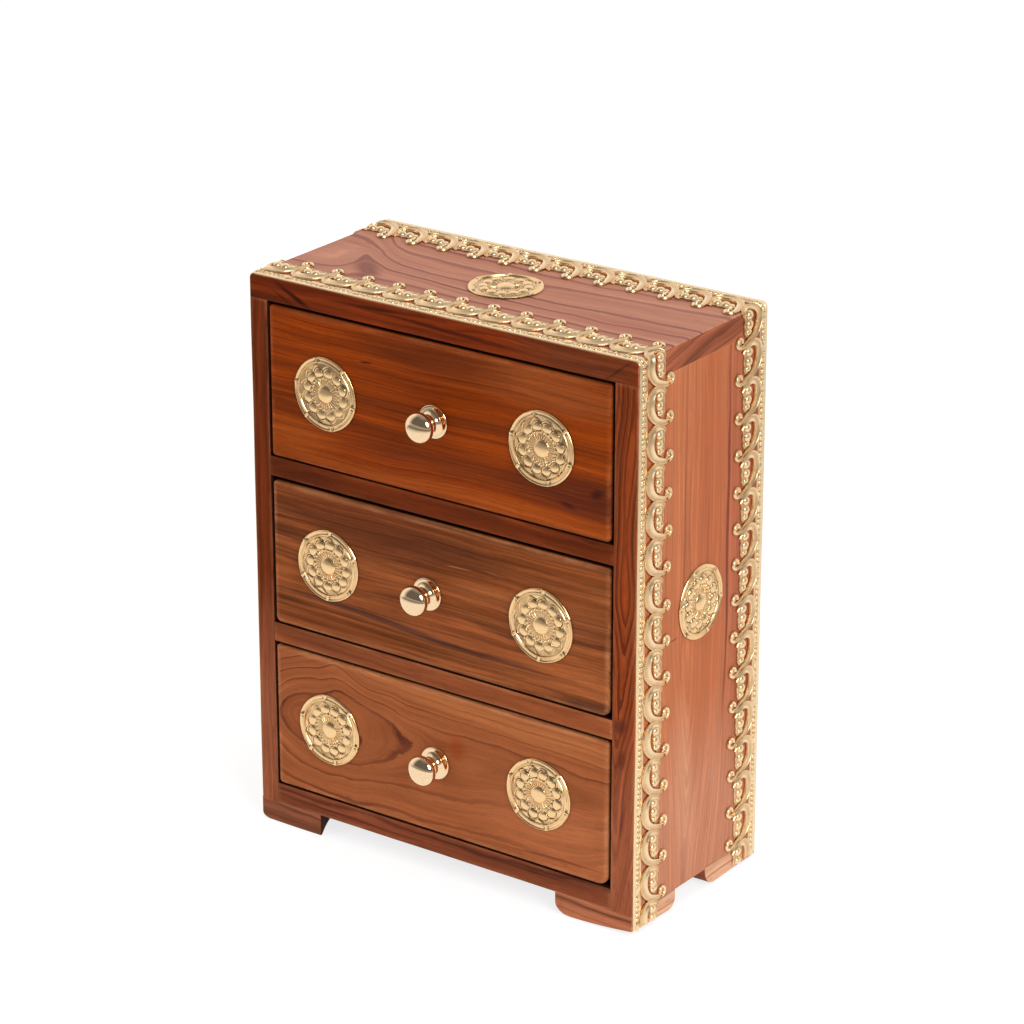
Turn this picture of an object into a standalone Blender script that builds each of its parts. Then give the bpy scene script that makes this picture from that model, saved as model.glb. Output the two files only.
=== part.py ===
"""Small tabletop chest of three drawers in teak, dressed with embossed brass strips and medallions.

Metres, +Z up, front towards -Y. The origin is on the floor under the middle of the bounding box,
whose front is the tip of the knobs.
"""

import math

import bmesh
import bpy
from mathutils import Matrix, Vector
from mathutils.geometry import delaunay_2d_cdt

# Carcass
WIDTH = 0.2000
DEPTH = 0.0960
HEIGHT = 0.2566
FOOT_HEIGHT = 0.0098
BOTTOM_THICKNESS = 0.0097
DIVIDER_THICKNESS = 0.0092
TOP_THICKNESS = 0.0106
LEFT_SIDE_THICKNESS = 0.0094
RIGHT_SIDE_THICKNESS = 0.0114
BACK_THICKNESS = 0.0040
BOTTOM_OPENING = 0.0689
MIDDLE_OPENING = 0.0687
TOP_EDGE_RADIUS = 0.0020
EDGE_EASE = 0.0006

# Feet
LEFT_FOOT_WIDTH = 0.0330
RIGHT_FOOT_WIDTH = 0.0395
FRONT_FOOT_DEPTH = 0.0330
REAR_FOOT_DEPTH = 0.0400
FOOT_INNER_RADIUS = 0.0070
FOOT_OUTER_RADIUS = 0.0026
FOOT_LEAST_END = 0.0010

# Drawers
DRAWER_FRONT_THICKNESS = 0.0100
DRAWER_SIDE_THICKNESS = 0.0055
DRAWER_BACK_THICKNESS = 0.0055
DRAWER_BOTTOM_THICKNESS = 0.0030
DRAWER_BOTTOM_RAISE = 0.0030
DRAWER_SIDE_DROP = 0.0030
GROOVE_DEPTH = 0.0025
DRAWER_FACE_CORNER = 0.0009
DRAWER_FRONT_ROUNDING = 0.0016

# Knobs and their screws
KNOB_CAP_DIAMETER = 0.0138
KNOB_CAP_THICKNESS = 0.0082
KNOB_NECK_WALL = 0.0012
KNOB_NECK_LENGTH = 0.0016
KNOB_BASE_DIAMETER = 0.0148
KNOB_BASE_RIM = 0.0012
KNOB_BASE_FLARE = 0.0036
SCREW_DIAMETER = 0.0030
SCREW_HEAD_DIAMETER = 0.0064
SCREW_HEAD_THICKNESS = 0.0018
SCREW_GRIP = 0.0070

# Brass strips: one long strip folded up the left side, over the top and down the right side
STRIP_SHEET = 0.0003
STRIP_EDGE_INSET = 0.0004
STRIP_END_HEIGHT = 0.0028
MOTIF_PITCH = 0.01647
LAST_CURL_TO_END = 0.0117
LOBE_CENTRE = 0.0120
LOBE_HALF_WIDTH = 0.0072
LOBE_TO_CURL = 0.0004
LOBE_END_ANGLE = 15
CURL_CENTRE = 0.0211
CURL_RADIUS = 0.0028
CURL_START_ANGLE = 190
CURL_END_ANGLE = -50
BEAD_RAIL_START = 0.0021
BEAD_RAIL_END = 0.0043
BEAD_RAIL_HEIGHT = 0.0006
RING_HEIGHT = 0.0006
BEAD_BAR_HEIGHT = 0.0010

# One motif: along the strip in motif lengths back from its curl, in from the border, and half widths
RING_LINE = ((-0.880, 0.0130, 0.0008), (-0.855, 0.0098, 0.0012), (-0.740, 0.0079, 0.0014),
             (-0.560, 0.0071, 0.0015), (-0.380, 0.0077, 0.0014), (-0.220, 0.0096, 0.0012),
             (-0.120, 0.0128, 0.0009))
RING_HOLE = ((-0.740, 0.0126), (-0.715, 0.0105), (-0.600, 0.0094), (-0.450, 0.0094), (-0.300, 0.0105),
             (-0.245, 0.0126))
PIERCING = ((-0.260, 0.0054), (-0.030, 0.0092), (0.075, 0.0054))
BEAD_BAR = ((-0.700, 0.0152, 0.0008), (-0.500, 0.0152, 0.0019), (-0.300, 0.0152, 0.0008))

# Medallions
MEDALLION_DIAMETER = 0.0330
MEDALLION_RIM_WIDTH = 0.0027
MEDALLION_RIM_HEIGHT = 0.0014
MEDALLION_FIELD_HEIGHT = 0.0008
MEDALLION_RING_HEIGHT = 0.0015
MEDALLION_RING_DIAMETER = 0.0160
MEDALLION_BOSS_DIAMETER = 0.0080
MEDALLION_BOSS_HEIGHT = 0.0022
DRAWER_MEDALLION_INSET = 0.03215
SIDE_MEDALLION_HEIGHT = 0.1376

# Nails that hold the boards
NAIL_DIAMETER = 0.0016
NAIL_HEAD_DIAMETER = 0.0030
NAIL_HEAD_THICKNESS = 0.0006
NAIL_LENGTH = 0.0220
NAIL_FROM_EDGE = 0.0120

# Clearances
JOINT_GAP = 0.0003
DRAWER_SIDE_CLEARANCE = 0.0012
DRAWER_TOP_CLEARANCE = 0.0015
DRAWER_RUN_CLEARANCE = 0.0003
DRAWER_BACK_CLEARANCE = 0.0010
CUT_MARGIN = 0.0020

# Facets
ROUND_STEPS = 20
PIN_STEPS = 8
ARC_STEPS = 4
FOLD_STEPS = 4
CORNER_STEPS = 3
ROUNDING_STEPS = 2
LOBE_STEPS = 3
CURL_STEPS = 5
DOME_STEPS = 2
MERGE_DISTANCE = 1e-6
SHARP_ANGLE = 1.0

# Derived places
KNOB_BORE = SCREW_DIAMETER + 2 * JOINT_GAP
KNOB_NECK_DIAMETER = KNOB_BORE + 2 * KNOB_NECK_WALL
KNOB_STEM = JOINT_GAP + KNOB_BASE_RIM + KNOB_BASE_FLARE + KNOB_NECK_LENGTH
KNOB_CAP_MEET = math.acos(KNOB_NECK_DIAMETER / KNOB_CAP_DIAMETER)
KNOB_CAP_MIDDLE = KNOB_STEM + KNOB_CAP_THICKNESS / 2 * math.sin(KNOB_CAP_MEET)
KNOB_REACH = KNOB_CAP_MIDDLE + KNOB_CAP_THICKNESS / 2
LEFT_X = -WIDTH / 2
RIGHT_X = WIDTH / 2
FRONT_Y = (KNOB_REACH - DEPTH) / 2
REAR_Y = FRONT_Y + DEPTH
MIDDLE_Y = (FRONT_Y + REAR_Y) / 2
OPENING_LEFT = LEFT_X + LEFT_SIDE_THICKNESS
OPENING_RIGHT = RIGHT_X - RIGHT_SIDE_THICKNESS
CASE_BOTTOM = FOOT_HEIGHT + JOINT_GAP
CASE_TOP = HEIGHT - TOP_THICKNESS
SHELF_REAR = REAR_Y - BACK_THICKNESS - JOINT_GAP
BOTTOM_TOP = CASE_BOTTOM + BOTTOM_THICKNESS
LOWER_DIVIDER = BOTTOM_TOP + BOTTOM_OPENING
LOWER_DIVIDER_TOP = LOWER_DIVIDER + DIVIDER_THICKNESS
UPPER_DIVIDER = LOWER_DIVIDER_TOP + MIDDLE_OPENING
UPPER_DIVIDER_TOP = UPPER_DIVIDER + DIVIDER_THICKNESS
TOP_OPENING = CASE_TOP - UPPER_DIVIDER_TOP

# The three drawers: where each one sits, and how far its hand-set brass is off the middle of its front
DRAWERS = (
    {"name": "top", "floor": UPPER_DIVIDER_TOP, "opening": TOP_OPENING,
     "knob": -0.0012, "medallions": -0.0024},
    {"name": "middle", "floor": LOWER_DIVIDER_TOP, "opening": MIDDLE_OPENING,
     "knob": -0.0050, "medallions": -0.0025},
    {"name": "bottom", "floor": BOTTOM_TOP, "opening": BOTTOM_OPENING,
     "knob": -0.0015, "medallions": -0.0034},
)

# Which way a turned shape's own +Z points once it is placed
UP = Matrix.Identity(4)
TO_FRONT = Matrix.Rotation(math.pi / 2, 4, "X")
TO_REAR = Matrix.Rotation(-math.pi / 2, 4, "X")
TO_RIGHT = Matrix.Rotation(math.pi / 2, 4, "Y")
TO_LEFT = Matrix.Rotation(-math.pi / 2, 4, "Y")


def clear_scene():
    for old in list(bpy.data.objects):
        bpy.data.objects.remove(old, do_unlink=True)


def add_collection(name):
    made = bpy.data.collections.new(name)
    bpy.context.scene.collection.children.link(made)
    return made


def add_material(name, colour, roughness, metallic):
    material = bpy.data.materials.new(name)
    material.use_nodes = True
    shader = material.node_tree.nodes["Principled BSDF"]
    shader.inputs["Base Color"].default_value = (*colour, 1.0)
    shader.inputs["Roughness"].default_value = roughness
    shader.inputs["Metallic"].default_value = metallic
    material.diffuse_color = (*colour, 1.0)
    return material


def add_object(name, mesh, place, material=None, parent=None):
    """One named object; without a material it is a cutter. place is its matrix in the world."""
    made = bpy.data.objects.new(name, mesh)
    if material is None:
        CUTTERS.objects.link(made)
        made.hide_render = True
        made.display_type = "WIRE"
    else:
        PARTS.objects.link(made)
        mesh.materials.append(material)
    if parent is not None:
        made.parent = parent
        place = Matrix.Translation(-parent.location) @ place
    made.matrix_basis = place
    return made


def box_mesh(name, size):
    shape = bmesh.new()
    bmesh.ops.create_cube(shape, size=1.0, matrix=Matrix.Diagonal((*size, 1.0)))
    mesh = bpy.data.meshes.new(name)
    shape.to_mesh(mesh)
    shape.free()
    return mesh


def board(name, low, high, material=None, parent=None, ease=EDGE_EASE):
    """A sawn board between two corners, its edges slightly eased."""
    low, high = Vector(low), Vector(high)
    middle = (low + high) / 2
    made = add_object(name, box_mesh(name, high - low), Matrix.Translation(middle), material, parent)
    if material is not None and ease > 0:
        edge = made.modifiers.new("eased edges", "BEVEL")
        edge.width = ease
        edge.segments = 1
    return made


def outline_mesh(name, points, thickness):
    """A flat outline in its own XY plane, thickened evenly to both sides, as a closed mesh."""
    curve = bpy.data.curves.new(name, "CURVE")
    curve.dimensions = "2D"
    curve.fill_mode = "BOTH"
    curve.extrude = thickness / 2
    line = curve.splines.new("POLY")
    line.points.add(len(points) - 1)
    for spot, (x, y) in zip(line.points, points):
        spot.co = (x, y, 0.0, 1.0)
    line.use_cyclic_u = True
    holder = bpy.data.objects.new(name, curve)
    bpy.context.scene.collection.objects.link(holder)
    bpy.context.view_layer.update()
    depsgraph = bpy.context.evaluated_depsgraph_get()
    mesh = bpy.data.meshes.new_from_object(holder.evaluated_get(depsgraph))
    bpy.data.objects.remove(holder)
    shape = bmesh.new()
    shape.from_mesh(mesh)
    bmesh.ops.remove_doubles(shape, verts=shape.verts, dist=MERGE_DISTANCE)
    bmesh.ops.recalc_face_normals(shape, faces=shape.faces)
    shape.to_mesh(mesh)
    shape.free()
    mesh.materials.clear()
    return mesh


def encloses(loop, s, t):
    """Whether a flat loop goes round this spot."""
    within = False
    for i, (s1, t1) in enumerate(loop):
        s0, t0 = loop[i - 1]
        if (t0 > t) != (t1 > t) and s < s0 + (s1 - s0) * (t - t0) / (t1 - t0):
            within = not within
    return within


def fill_between(shape, loops, n):
    """Triangles at height n, everywhere that an odd number of the loops goes round."""
    spots = [Vector(spot) for loop in loops for spot in loop]
    edges = []
    for loop in loops:
        start = len(edges)
        edges += [(start + i, start + (i + 1) % len(loop)) for i in range(len(loop))]
    spots, _, faces, _, _, _ = delaunay_2d_cdt(spots, edges, [], 0, MERGE_DISTANCE / 100)
    reach = [(min(s for s, t in loop), max(s for s, t in loop), loop) for loop in loops]
    made = [shape.verts.new((spot.x, spot.y, n)) for spot in spots]
    for face in faces:
        middle = sum((spots[i] for i in face), Vector((0.0, 0.0))) / len(face)
        around = [loop for low, high, loop in reach if low < middle.x < high and encloses(loop, *middle)]
        if len(around) % 2:
            shape.faces.new([made[i] for i in face])


def arc(centre, radius, start, end, steps=ARC_STEPS, rise=None):
    """Points along an arc, angles in degrees; with a rise of its own, the arc is part of an ellipse."""
    rise = radius if rise is None else rise
    turns = [math.radians(start + (end - start) * i / steps) for i in range(steps + 1)]
    return [(centre[0] + radius * math.cos(a), centre[1] + rise * math.sin(a)) for a in turns]


def turned(name, profile, place, material=None, parent=None, steps=ROUND_STEPS):
    """A turned shape: (radius, height) points from the top, down the outer side, about its own Z."""
    mesh = bpy.data.meshes.new(name)
    points = [(r, 0.0, z) for r, z in profile]
    mesh.from_pydata(points, [(i, i + 1) for i in range(len(points) - 1)], [])
    made = add_object(name, mesh, place, material, parent)
    lathe = made.modifiers.new("turned", "SCREW")
    lathe.axis = "Z"
    lathe.angle = 2 * math.pi
    lathe.steps = steps
    lathe.render_steps = steps
    lathe.use_merge_vertices = True
    lathe.merge_threshold = MERGE_DISTANCE
    lathe.use_smooth_shade = True
    return made


def cut(piece, cutter, operation="DIFFERENCE"):
    removal = piece.modifiers.new(cutter.name, "BOOLEAN")
    removal.operation = operation
    removal.object = cutter
    removal.solver = "EXACT"


def at(x, y, z, turn=UP):
    return Matrix.Translation((x, y, z)) @ turn


def top_board():
    """Lies over both sides; its two side edges are rounded for the strips to fold over."""
    low = CASE_TOP
    r = TOP_EDGE_RADIUS
    outline = [(LEFT_X, low), (RIGHT_X, low)]
    outline += arc((RIGHT_X - r, HEIGHT - r), r, 0, 90)
    outline += arc((LEFT_X + r, HEIGHT - r), r, 90, 180)
    mesh = outline_mesh("top_board", outline, DEPTH)
    return add_object("top_board", mesh, at(0, MIDDLE_Y, 0, TO_FRONT), TEAK)


def foot(name, width, depth, on_right, at_front):
    """A block under a corner: rounded up at its two inner ends and slightly at its outer corner."""
    height = FOOT_HEIGHT
    side = 1 if on_right else -1
    end = -1 if at_front else 1
    corner_x = RIGHT_X if on_right else LEFT_X
    corner_y = FRONT_Y if at_front else REAR_Y
    outer = FOOT_OUTER_RADIUS
    inner = min(FOOT_INNER_RADIUS, height - FOOT_LEAST_END)

    def profile(length, direction, corner):
        shape = [(0.0, height)] + arc((-outer, outer), outer, 0, -90)
        shape += arc((inner - length, inner), inner, 270, 180) + [(-length, height)]
        return [(corner + direction * u, z) for u, z in shape]

    front_view = outline_mesh(name, profile(width, side, corner_x), depth)
    made = add_object(name, front_view, at(0, corner_y - end * depth / 2, 0, TO_FRONT), DARK_TEAK)
    side_view = outline_mesh(name + "_side_view", profile(depth, end, corner_y), width + 2 * CUT_MARGIN)
    stand = Matrix.Rotation(math.pi / 2, 4, "Z") @ TO_FRONT
    shaper = add_object(name + "_side_view", side_view, at(corner_x - side * width / 2, 0, 0) @ stand)
    cut(made, shaper, "INTERSECT")
    return made


def pin_profile(head, head_thickness, shank, length, grow=0.0):
    """A headed pin with the top of its head at zero; grown, it is the hole that the pin sits in."""
    top = CUT_MARGIN if grow else 0.0
    return [(0.0, top), (head / 2 + grow, top), (head / 2 + grow, -head_thickness - grow),
            (shank / 2 + grow, -head_thickness - grow), (shank / 2 + grow, -length + shank),
            (0.0, -length - grow)]


def nail(name, place, boards):
    """A nail sunk flush in the first board and driven into the second."""
    sizes = (NAIL_HEAD_DIAMETER, NAIL_HEAD_THICKNESS, NAIL_DIAMETER, NAIL_LENGTH)
    sunk = place @ Matrix.Translation((0, 0, -JOINT_GAP))
    turned(name, pin_profile(*sizes), sunk, STEEL, steps=PIN_STEPS)
    hole = turned(name + "_hole", pin_profile(*sizes, grow=JOINT_GAP), sunk, steps=PIN_STEPS)
    for piece in boards:
        cut(piece, hole)


def carcass():
    top = top_board()
    side_top = CASE_TOP - JOINT_GAP
    left = board("left_side_panel", (LEFT_X, FRONT_Y, CASE_BOTTOM),
                 (OPENING_LEFT, REAR_Y, side_top), TEAK)
    right = board("right_side_panel", (OPENING_RIGHT, FRONT_Y, CASE_BOTTOM),
                  (RIGHT_X, REAR_Y, side_top), TEAK)
    inner_left = OPENING_LEFT + JOINT_GAP
    inner_right = OPENING_RIGHT - JOINT_GAP
    shelves = {"bottom_board": (CASE_BOTTOM, BOTTOM_TOP),
               "lower_divider": (LOWER_DIVIDER, LOWER_DIVIDER_TOP),
               "upper_divider": (UPPER_DIVIDER, UPPER_DIVIDER_TOP)}
    nail_rows = {"front": FRONT_Y + NAIL_FROM_EDGE, "rear": REAR_Y - NAIL_FROM_EDGE}
    for name, (low, high) in shelves.items():
        shelf = board(name, (inner_left, FRONT_Y, low), (inner_right, SHELF_REAR, high), DARK_TEAK)
        for row, y in nail_rows.items():
            middle = (low + high) / 2
            nail(f"{name}_left_{row}_nail", at(LEFT_X, y, middle, TO_LEFT), (left, shelf))
            nail(f"{name}_right_{row}_nail", at(RIGHT_X, y, middle, TO_RIGHT), (right, shelf))
    nail_in = TOP_EDGE_RADIUS + NAIL_HEAD_DIAMETER / 2
    for row, y in nail_rows.items():
        nail(f"top_left_{row}_nail", at(LEFT_X + nail_in, y, HEIGHT), (top, left))
        nail(f"top_right_{row}_nail", at(RIGHT_X - nail_in, y, HEIGHT), (top, right))
    board("back_panel", (inner_left, REAR_Y - BACK_THICKNESS, CASE_BOTTOM),
          (inner_right, REAR_Y, side_top), PLY)
    foot("front_left_foot", LEFT_FOOT_WIDTH, FRONT_FOOT_DEPTH, False, True)
    foot("front_right_foot", RIGHT_FOOT_WIDTH, FRONT_FOOT_DEPTH, True, True)
    foot("rear_left_foot", LEFT_FOOT_WIDTH, REAR_FOOT_DEPTH, False, False)
    foot("rear_right_foot", RIGHT_FOOT_WIDTH, REAR_FOOT_DEPTH, True, False)


def strip_path():
    """Lengths of the strip's path: one side, one fold and the run over the top, and the fold's radius."""
    fold_radius = TOP_EDGE_RADIUS + JOINT_GAP
    rise = HEIGHT - TOP_EDGE_RADIUS - STRIP_END_HEIGHT
    fold = fold_radius * math.pi / 2
    run = WIDTH - 2 * TOP_EDGE_RADIUS
    return rise, fold, run, fold_radius


def strip_spot(s, t, n):
    """The place of a point of the flat strip: s along it, t in from its border, n out of the wood."""
    rise, fold, run, radius = strip_path()
    y = FRONT_Y + STRIP_EDGE_INSET + t
    reach = radius + n
    bend_z = HEIGHT - TOP_EDGE_RADIUS
    bend_x = RIGHT_X - TOP_EDGE_RADIUS
    if s <= rise:
        return Vector((-bend_x - reach, y, STRIP_END_HEIGHT + s))
    if s <= rise + fold:
        angle = math.pi - (s - rise) / radius
        return Vector((-bend_x + reach * math.cos(angle), y, bend_z + reach * math.sin(angle)))
    if s <= rise + fold + run:
        return Vector((-bend_x + s - rise - fold, y, bend_z + reach))
    if s <= rise + 2 * fold + run:
        angle = math.pi / 2 - (s - rise - fold - run) / radius
        return Vector((bend_x + reach * math.cos(angle), y, bend_z + reach * math.sin(angle)))
    return Vector((bend_x + reach, y, bend_z - (s - rise - 2 * fold - run)))


def strip_curls(length):
    """Where the middles of the curls lie along the strip, from the far end back to the near end."""
    count = math.ceil(length / MOTIF_PITCH) + 1
    return [length - LAST_CURL_TO_END - (i - 1) * MOTIF_PITCH for i in range(count, -1, -1)]


def strip_outline(length):
    """Straight border edge, and on the inner side a round lobe and a small curl for every motif."""
    inner = []
    for curl in strip_curls(length):
        lobe = curl - MOTIF_PITCH / 2
        half = MOTIF_PITCH / 2 - CURL_RADIUS - LOBE_TO_CURL
        inner += arc((lobe, LOBE_CENTRE), half, 180 - LOBE_END_ANGLE, LOBE_END_ANGLE, LOBE_STEPS,
                     LOBE_HALF_WIDTH)
        inner += arc((curl, CURL_CENTRE), CURL_RADIUS, CURL_START_ANGLE, CURL_END_ANGLE, CURL_STEPS)
    end_margin = 4 * STRIP_SHEET
    kept = [(s, t) for s, t in inner if end_margin < s < length - end_margin]
    first, last = kept[0], kept[-1]
    return [(0.0, first[1])] + kept + [(length, last[1]), (length, 0.0), (0.0, 0.0)]


def whole(points, length):
    """Whether a motif's shape lies well inside the strip's two ends."""
    places = [point[0] for point in points]
    return min(places) > BEAD_RAIL_START and max(places) < length - BEAD_RAIL_START


def placed(line, curl):
    return [(curl + point[0] * MOTIF_PITCH, *point[1:]) for point in line]


def band_loop(line):
    """The outline of a band that follows (s, t, half width) points."""
    left, right = [], []
    for i, (s, t, half) in enumerate(line):
        before, after = line[max(i - 1, 0)], line[min(i + 1, len(line) - 1)]
        along = Vector((after[0] - before[0], after[1] - before[1])).normalized()
        left.append((s - along.y * half, t + along.x * half))
        right.append((s + along.y * half, t - along.x * half))
    return left + right[::-1]


def raised_forms(length):
    """What stands up from the sheet, as (outline, height): bead rail, and each motif's ring and bar."""
    middle = (BEAD_RAIL_START + BEAD_RAIL_END) / 2
    half = (BEAD_RAIL_END - BEAD_RAIL_START) / 2
    ends = (4 * STRIP_SHEET, length - 4 * STRIP_SHEET)
    forms = [(band_loop([(s, middle, half) for s in ends]), BEAD_RAIL_HEIGHT)]
    for curl in strip_curls(length):
        motif = ((band_loop(placed(RING_LINE, curl)), RING_HEIGHT), (band_loop(placed(BEAD_BAR, curl)), BEAD_BAR_HEIGHT))
        forms += [(loop, height) for loop, height in motif if whole(loop, length)]
    return forms


def flat_strip(length):
    """The strip before it is folded: a pierced sheet with its raised forms, as one closed shape."""
    holes = []
    for curl in strip_curls(length):
        holes += [hole for hole in (placed(RING_HOLE, curl), placed(PIERCING, curl)) if whole(hole, length)]
    through = [strip_outline(length)] + holes
    forms = raised_forms(length)
    layers = [(through, 0.0), (through + [loop for loop, height in forms], STRIP_SHEET)]
    layers += [([loop], height) for loop, height in forms]
    walls = [(loop, 0.0, STRIP_SHEET) for loop in through]
    walls += [(loop, STRIP_SHEET, height) for loop, height in forms]
    shape = bmesh.new()
    for loops, n in layers:
        fill_between(shape, loops, n)
    for loop, low, high in walls:
        rows = [[shape.verts.new((s, t, n)) for s, t in loop] for n in (low, high)]
        for i in range(len(loop)):
            k = (i + 1) % len(loop)
            shape.faces.new((rows[0][i], rows[0][k], rows[1][k], rows[1][i]))
    bmesh.ops.remove_doubles(shape, verts=shape.verts, dist=MERGE_DISTANCE)
    return shape


def folded_strip(name, at_rear=False):
    """Folded up the left side, over the top and down the right side; the rear one is its mirror image."""
    rise, fold, run, radius = strip_path()
    shape = flat_strip(2 * rise + 2 * fold + run)
    for start in (rise, rise + fold + run):
        for i in range(FOLD_STEPS + 1):
            line = Vector((start + fold * i / FOLD_STEPS, 0, 0))
            everything = shape.verts[:] + shape.edges[:] + shape.faces[:]
            bmesh.ops.bisect_plane(shape, geom=everything, dist=MERGE_DISTANCE / 10,
                                   plane_co=line, plane_no=(1, 0, 0))
    for spot in shape.verts:
        spot.co = strip_spot(*spot.co)
        if at_rear:
            spot.co.y = 2 * MIDDLE_Y - spot.co.y
    bmesh.ops.recalc_face_normals(shape, faces=shape.faces)
    if shape.calc_volume(signed=True) < 0:
        bmesh.ops.reverse_faces(shape, faces=shape.faces)
    mesh = bpy.data.meshes.new(name)
    shape.to_mesh(mesh)
    shape.free()
    return add_object(name, mesh, UP, STRIP_BRASS)


def medallion(name, place, parent=None):
    """A pressed disc: raised rim, sunk field, raised ring and a domed boss, standing just off the wood."""
    base = JOINT_GAP
    rim = MEDALLION_DIAMETER / 2
    ring = MEDALLION_RING_DIAMETER / 2
    boss = MEDALLION_BOSS_DIAMETER / 2
    dome = arc((0.0, base + MEDALLION_FIELD_HEIGHT), boss, 90, 0, DOME_STEPS,
               MEDALLION_BOSS_HEIGHT - MEDALLION_FIELD_HEIGHT)
    profile = [(0.0, base + MEDALLION_BOSS_HEIGHT)] + dome[1:]
    profile.append((ring, base + MEDALLION_RING_HEIGHT))
    profile.append((rim - MEDALLION_RIM_WIDTH, base + MEDALLION_FIELD_HEIGHT))
    profile.append((rim - MEDALLION_RIM_WIDTH / 2, base + MEDALLION_RIM_HEIGHT))
    profile.append((rim, base))
    profile.append((0.0, base))
    return turned(name, profile, place, MEDALLION_BRASS, parent)


def knob_profile():
    """Flattened ball on a flared stem, bored from behind for its screw; height is out from the drawer."""
    neck = KNOB_NECK_DIAMETER / 2
    base = KNOB_BASE_DIAMETER / 2
    bore = KNOB_BORE / 2
    bore_end = SCREW_GRIP + 2 * JOINT_GAP
    cap = arc((0.0, KNOB_CAP_MIDDLE), KNOB_CAP_DIAMETER / 2, 90, -math.degrees(KNOB_CAP_MEET),
              2 * ARC_STEPS, KNOB_CAP_THICKNESS / 2)
    flare = arc((base, KNOB_STEM - KNOB_NECK_LENGTH), base - neck, 180, 270, ARC_STEPS, KNOB_BASE_FLARE)
    foot_ring = [(base, JOINT_GAP), (bore, JOINT_GAP), (bore, bore_end), (0.0, bore_end)]
    return [(0.0, KNOB_REACH)] + cap[1:] + flare + foot_ring


def drawer_front(name, low, high, parent):
    """Board with softly rounded corners, its front arris rounded all the way round."""
    width = high.x - low.x
    height = high.z - low.z
    r = DRAWER_FACE_CORNER + DRAWER_FRONT_ROUNDING
    outline = []
    for sx, sz, start in ((1, -1, -90), (1, 1, 0), (-1, 1, 90), (-1, -1, 180)):
        outline += arc((sx * (width / 2 - r), sz * (height / 2 - r)), r, start, start + 90, CORNER_STEPS)
    mesh = outline_mesh(name, outline, DRAWER_FRONT_THICKNESS)
    shape = bmesh.new()
    shape.from_mesh(mesh)
    face_z = DRAWER_FRONT_THICKNESS / 2
    on_face = [e for e in shape.edges if all(abs(v.co.z - face_z) < MERGE_DISTANCE for v in e.verts)]
    rim = [e for e in on_face if e.calc_face_angle() > SHARP_ANGLE]
    bmesh.ops.bevel(shape, geom=rim, offset=DRAWER_FRONT_ROUNDING, segments=ROUNDING_STEPS, profile=0.5,
                    affect="EDGES")
    shape.to_mesh(mesh)
    shape.free()
    middle = (low + high) / 2
    return add_object(name, mesh, at(middle.x, FRONT_Y + face_z, middle.z, TO_FRONT), TEAK_FRONT, parent)


def drawer(spec):
    """Front, two sides, back and a bottom let into grooves, with the knob, its screw and two medallions."""
    tag = spec["name"] + "_drawer"
    low = Vector((OPENING_LEFT + DRAWER_SIDE_CLEARANCE, FRONT_Y, spec["floor"] + DRAWER_RUN_CLEARANCE))
    high = Vector((OPENING_RIGHT - DRAWER_SIDE_CLEARANCE, SHELF_REAR - DRAWER_BACK_CLEARANCE,
                   spec["floor"] + spec["opening"] - DRAWER_TOP_CLEARANCE))
    middle = (low + high) / 2
    slide = bpy.data.objects.new(tag + "_slide", None)
    slide.location = (middle.x, FRONT_Y, middle.z)
    PARTS.objects.link(slide)

    front_back = FRONT_Y + DRAWER_FRONT_THICKNESS
    box_front = front_back + JOINT_GAP
    box_top = high.z - DRAWER_SIDE_DROP
    inner_left = low.x + DRAWER_SIDE_THICKNESS
    inner_right = high.x - DRAWER_SIDE_THICKNESS
    back_front = high.y - DRAWER_BACK_THICKNESS
    front = drawer_front(tag + "_front", low, high, slide)
    left = board(tag + "_left_side", (low.x, box_front, low.z),
                 (inner_left, high.y, box_top), PALE_WOOD, slide)
    right = board(tag + "_right_side", (inner_right, box_front, low.z),
                  (high.x, high.y, box_top), PALE_WOOD, slide)
    back = board(tag + "_back", (inner_left + JOINT_GAP, back_front, low.z),
                 (inner_right - JOINT_GAP, high.y, box_top), PALE_WOOD, slide)

    panel_low = Vector((inner_left - GROOVE_DEPTH, front_back - GROOVE_DEPTH, low.z + DRAWER_BOTTOM_RAISE))
    panel_high = Vector((inner_right + GROOVE_DEPTH, back_front + GROOVE_DEPTH,
                         panel_low.z + DRAWER_BOTTOM_THICKNESS))
    board(tag + "_bottom", panel_low, panel_high, PLY, slide, ease=0.0)
    gap = Vector((JOINT_GAP, JOINT_GAP, JOINT_GAP))
    groove = board(tag + "_groove", panel_low - gap, panel_high + gap)
    for piece in (front, left, right, back):
        cut(piece, groove)

    knob_x = middle.x + spec["knob"]
    turned(spec["name"] + "_knob", knob_profile(), at(knob_x, FRONT_Y, middle.z, TO_FRONT),
           POLISHED_BRASS, slide)
    head_y = front_back + JOINT_GAP + SCREW_HEAD_THICKNESS
    screw_length = head_y - FRONT_Y + SCREW_GRIP
    screw = pin_profile(SCREW_HEAD_DIAMETER, SCREW_HEAD_THICKNESS, SCREW_DIAMETER, screw_length)
    turned(spec["name"] + "_knob_screw", screw, at(knob_x, head_y, middle.z, TO_REAR),
           STEEL, slide, PIN_STEPS)
    reach = DRAWER_FRONT_THICKNESS / 2 + CUT_MARGIN
    bore = KNOB_BORE / 2
    hole = turned(spec["name"] + "_knob_hole", [(0, reach), (bore, reach), (bore, -reach), (0, -reach)],
                  at(knob_x, FRONT_Y + DRAWER_FRONT_THICKNESS / 2, middle.z, TO_FRONT), steps=PIN_STEPS)
    cut(front, hole)

    places = {"left": low.x + DRAWER_MEDALLION_INSET, "right": high.x - DRAWER_MEDALLION_INSET}
    for side, x in places.items():
        medallion(f"{tag}_{side}_medallion", at(x + spec["medallions"], FRONT_Y, middle.z, TO_FRONT), slide)


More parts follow.
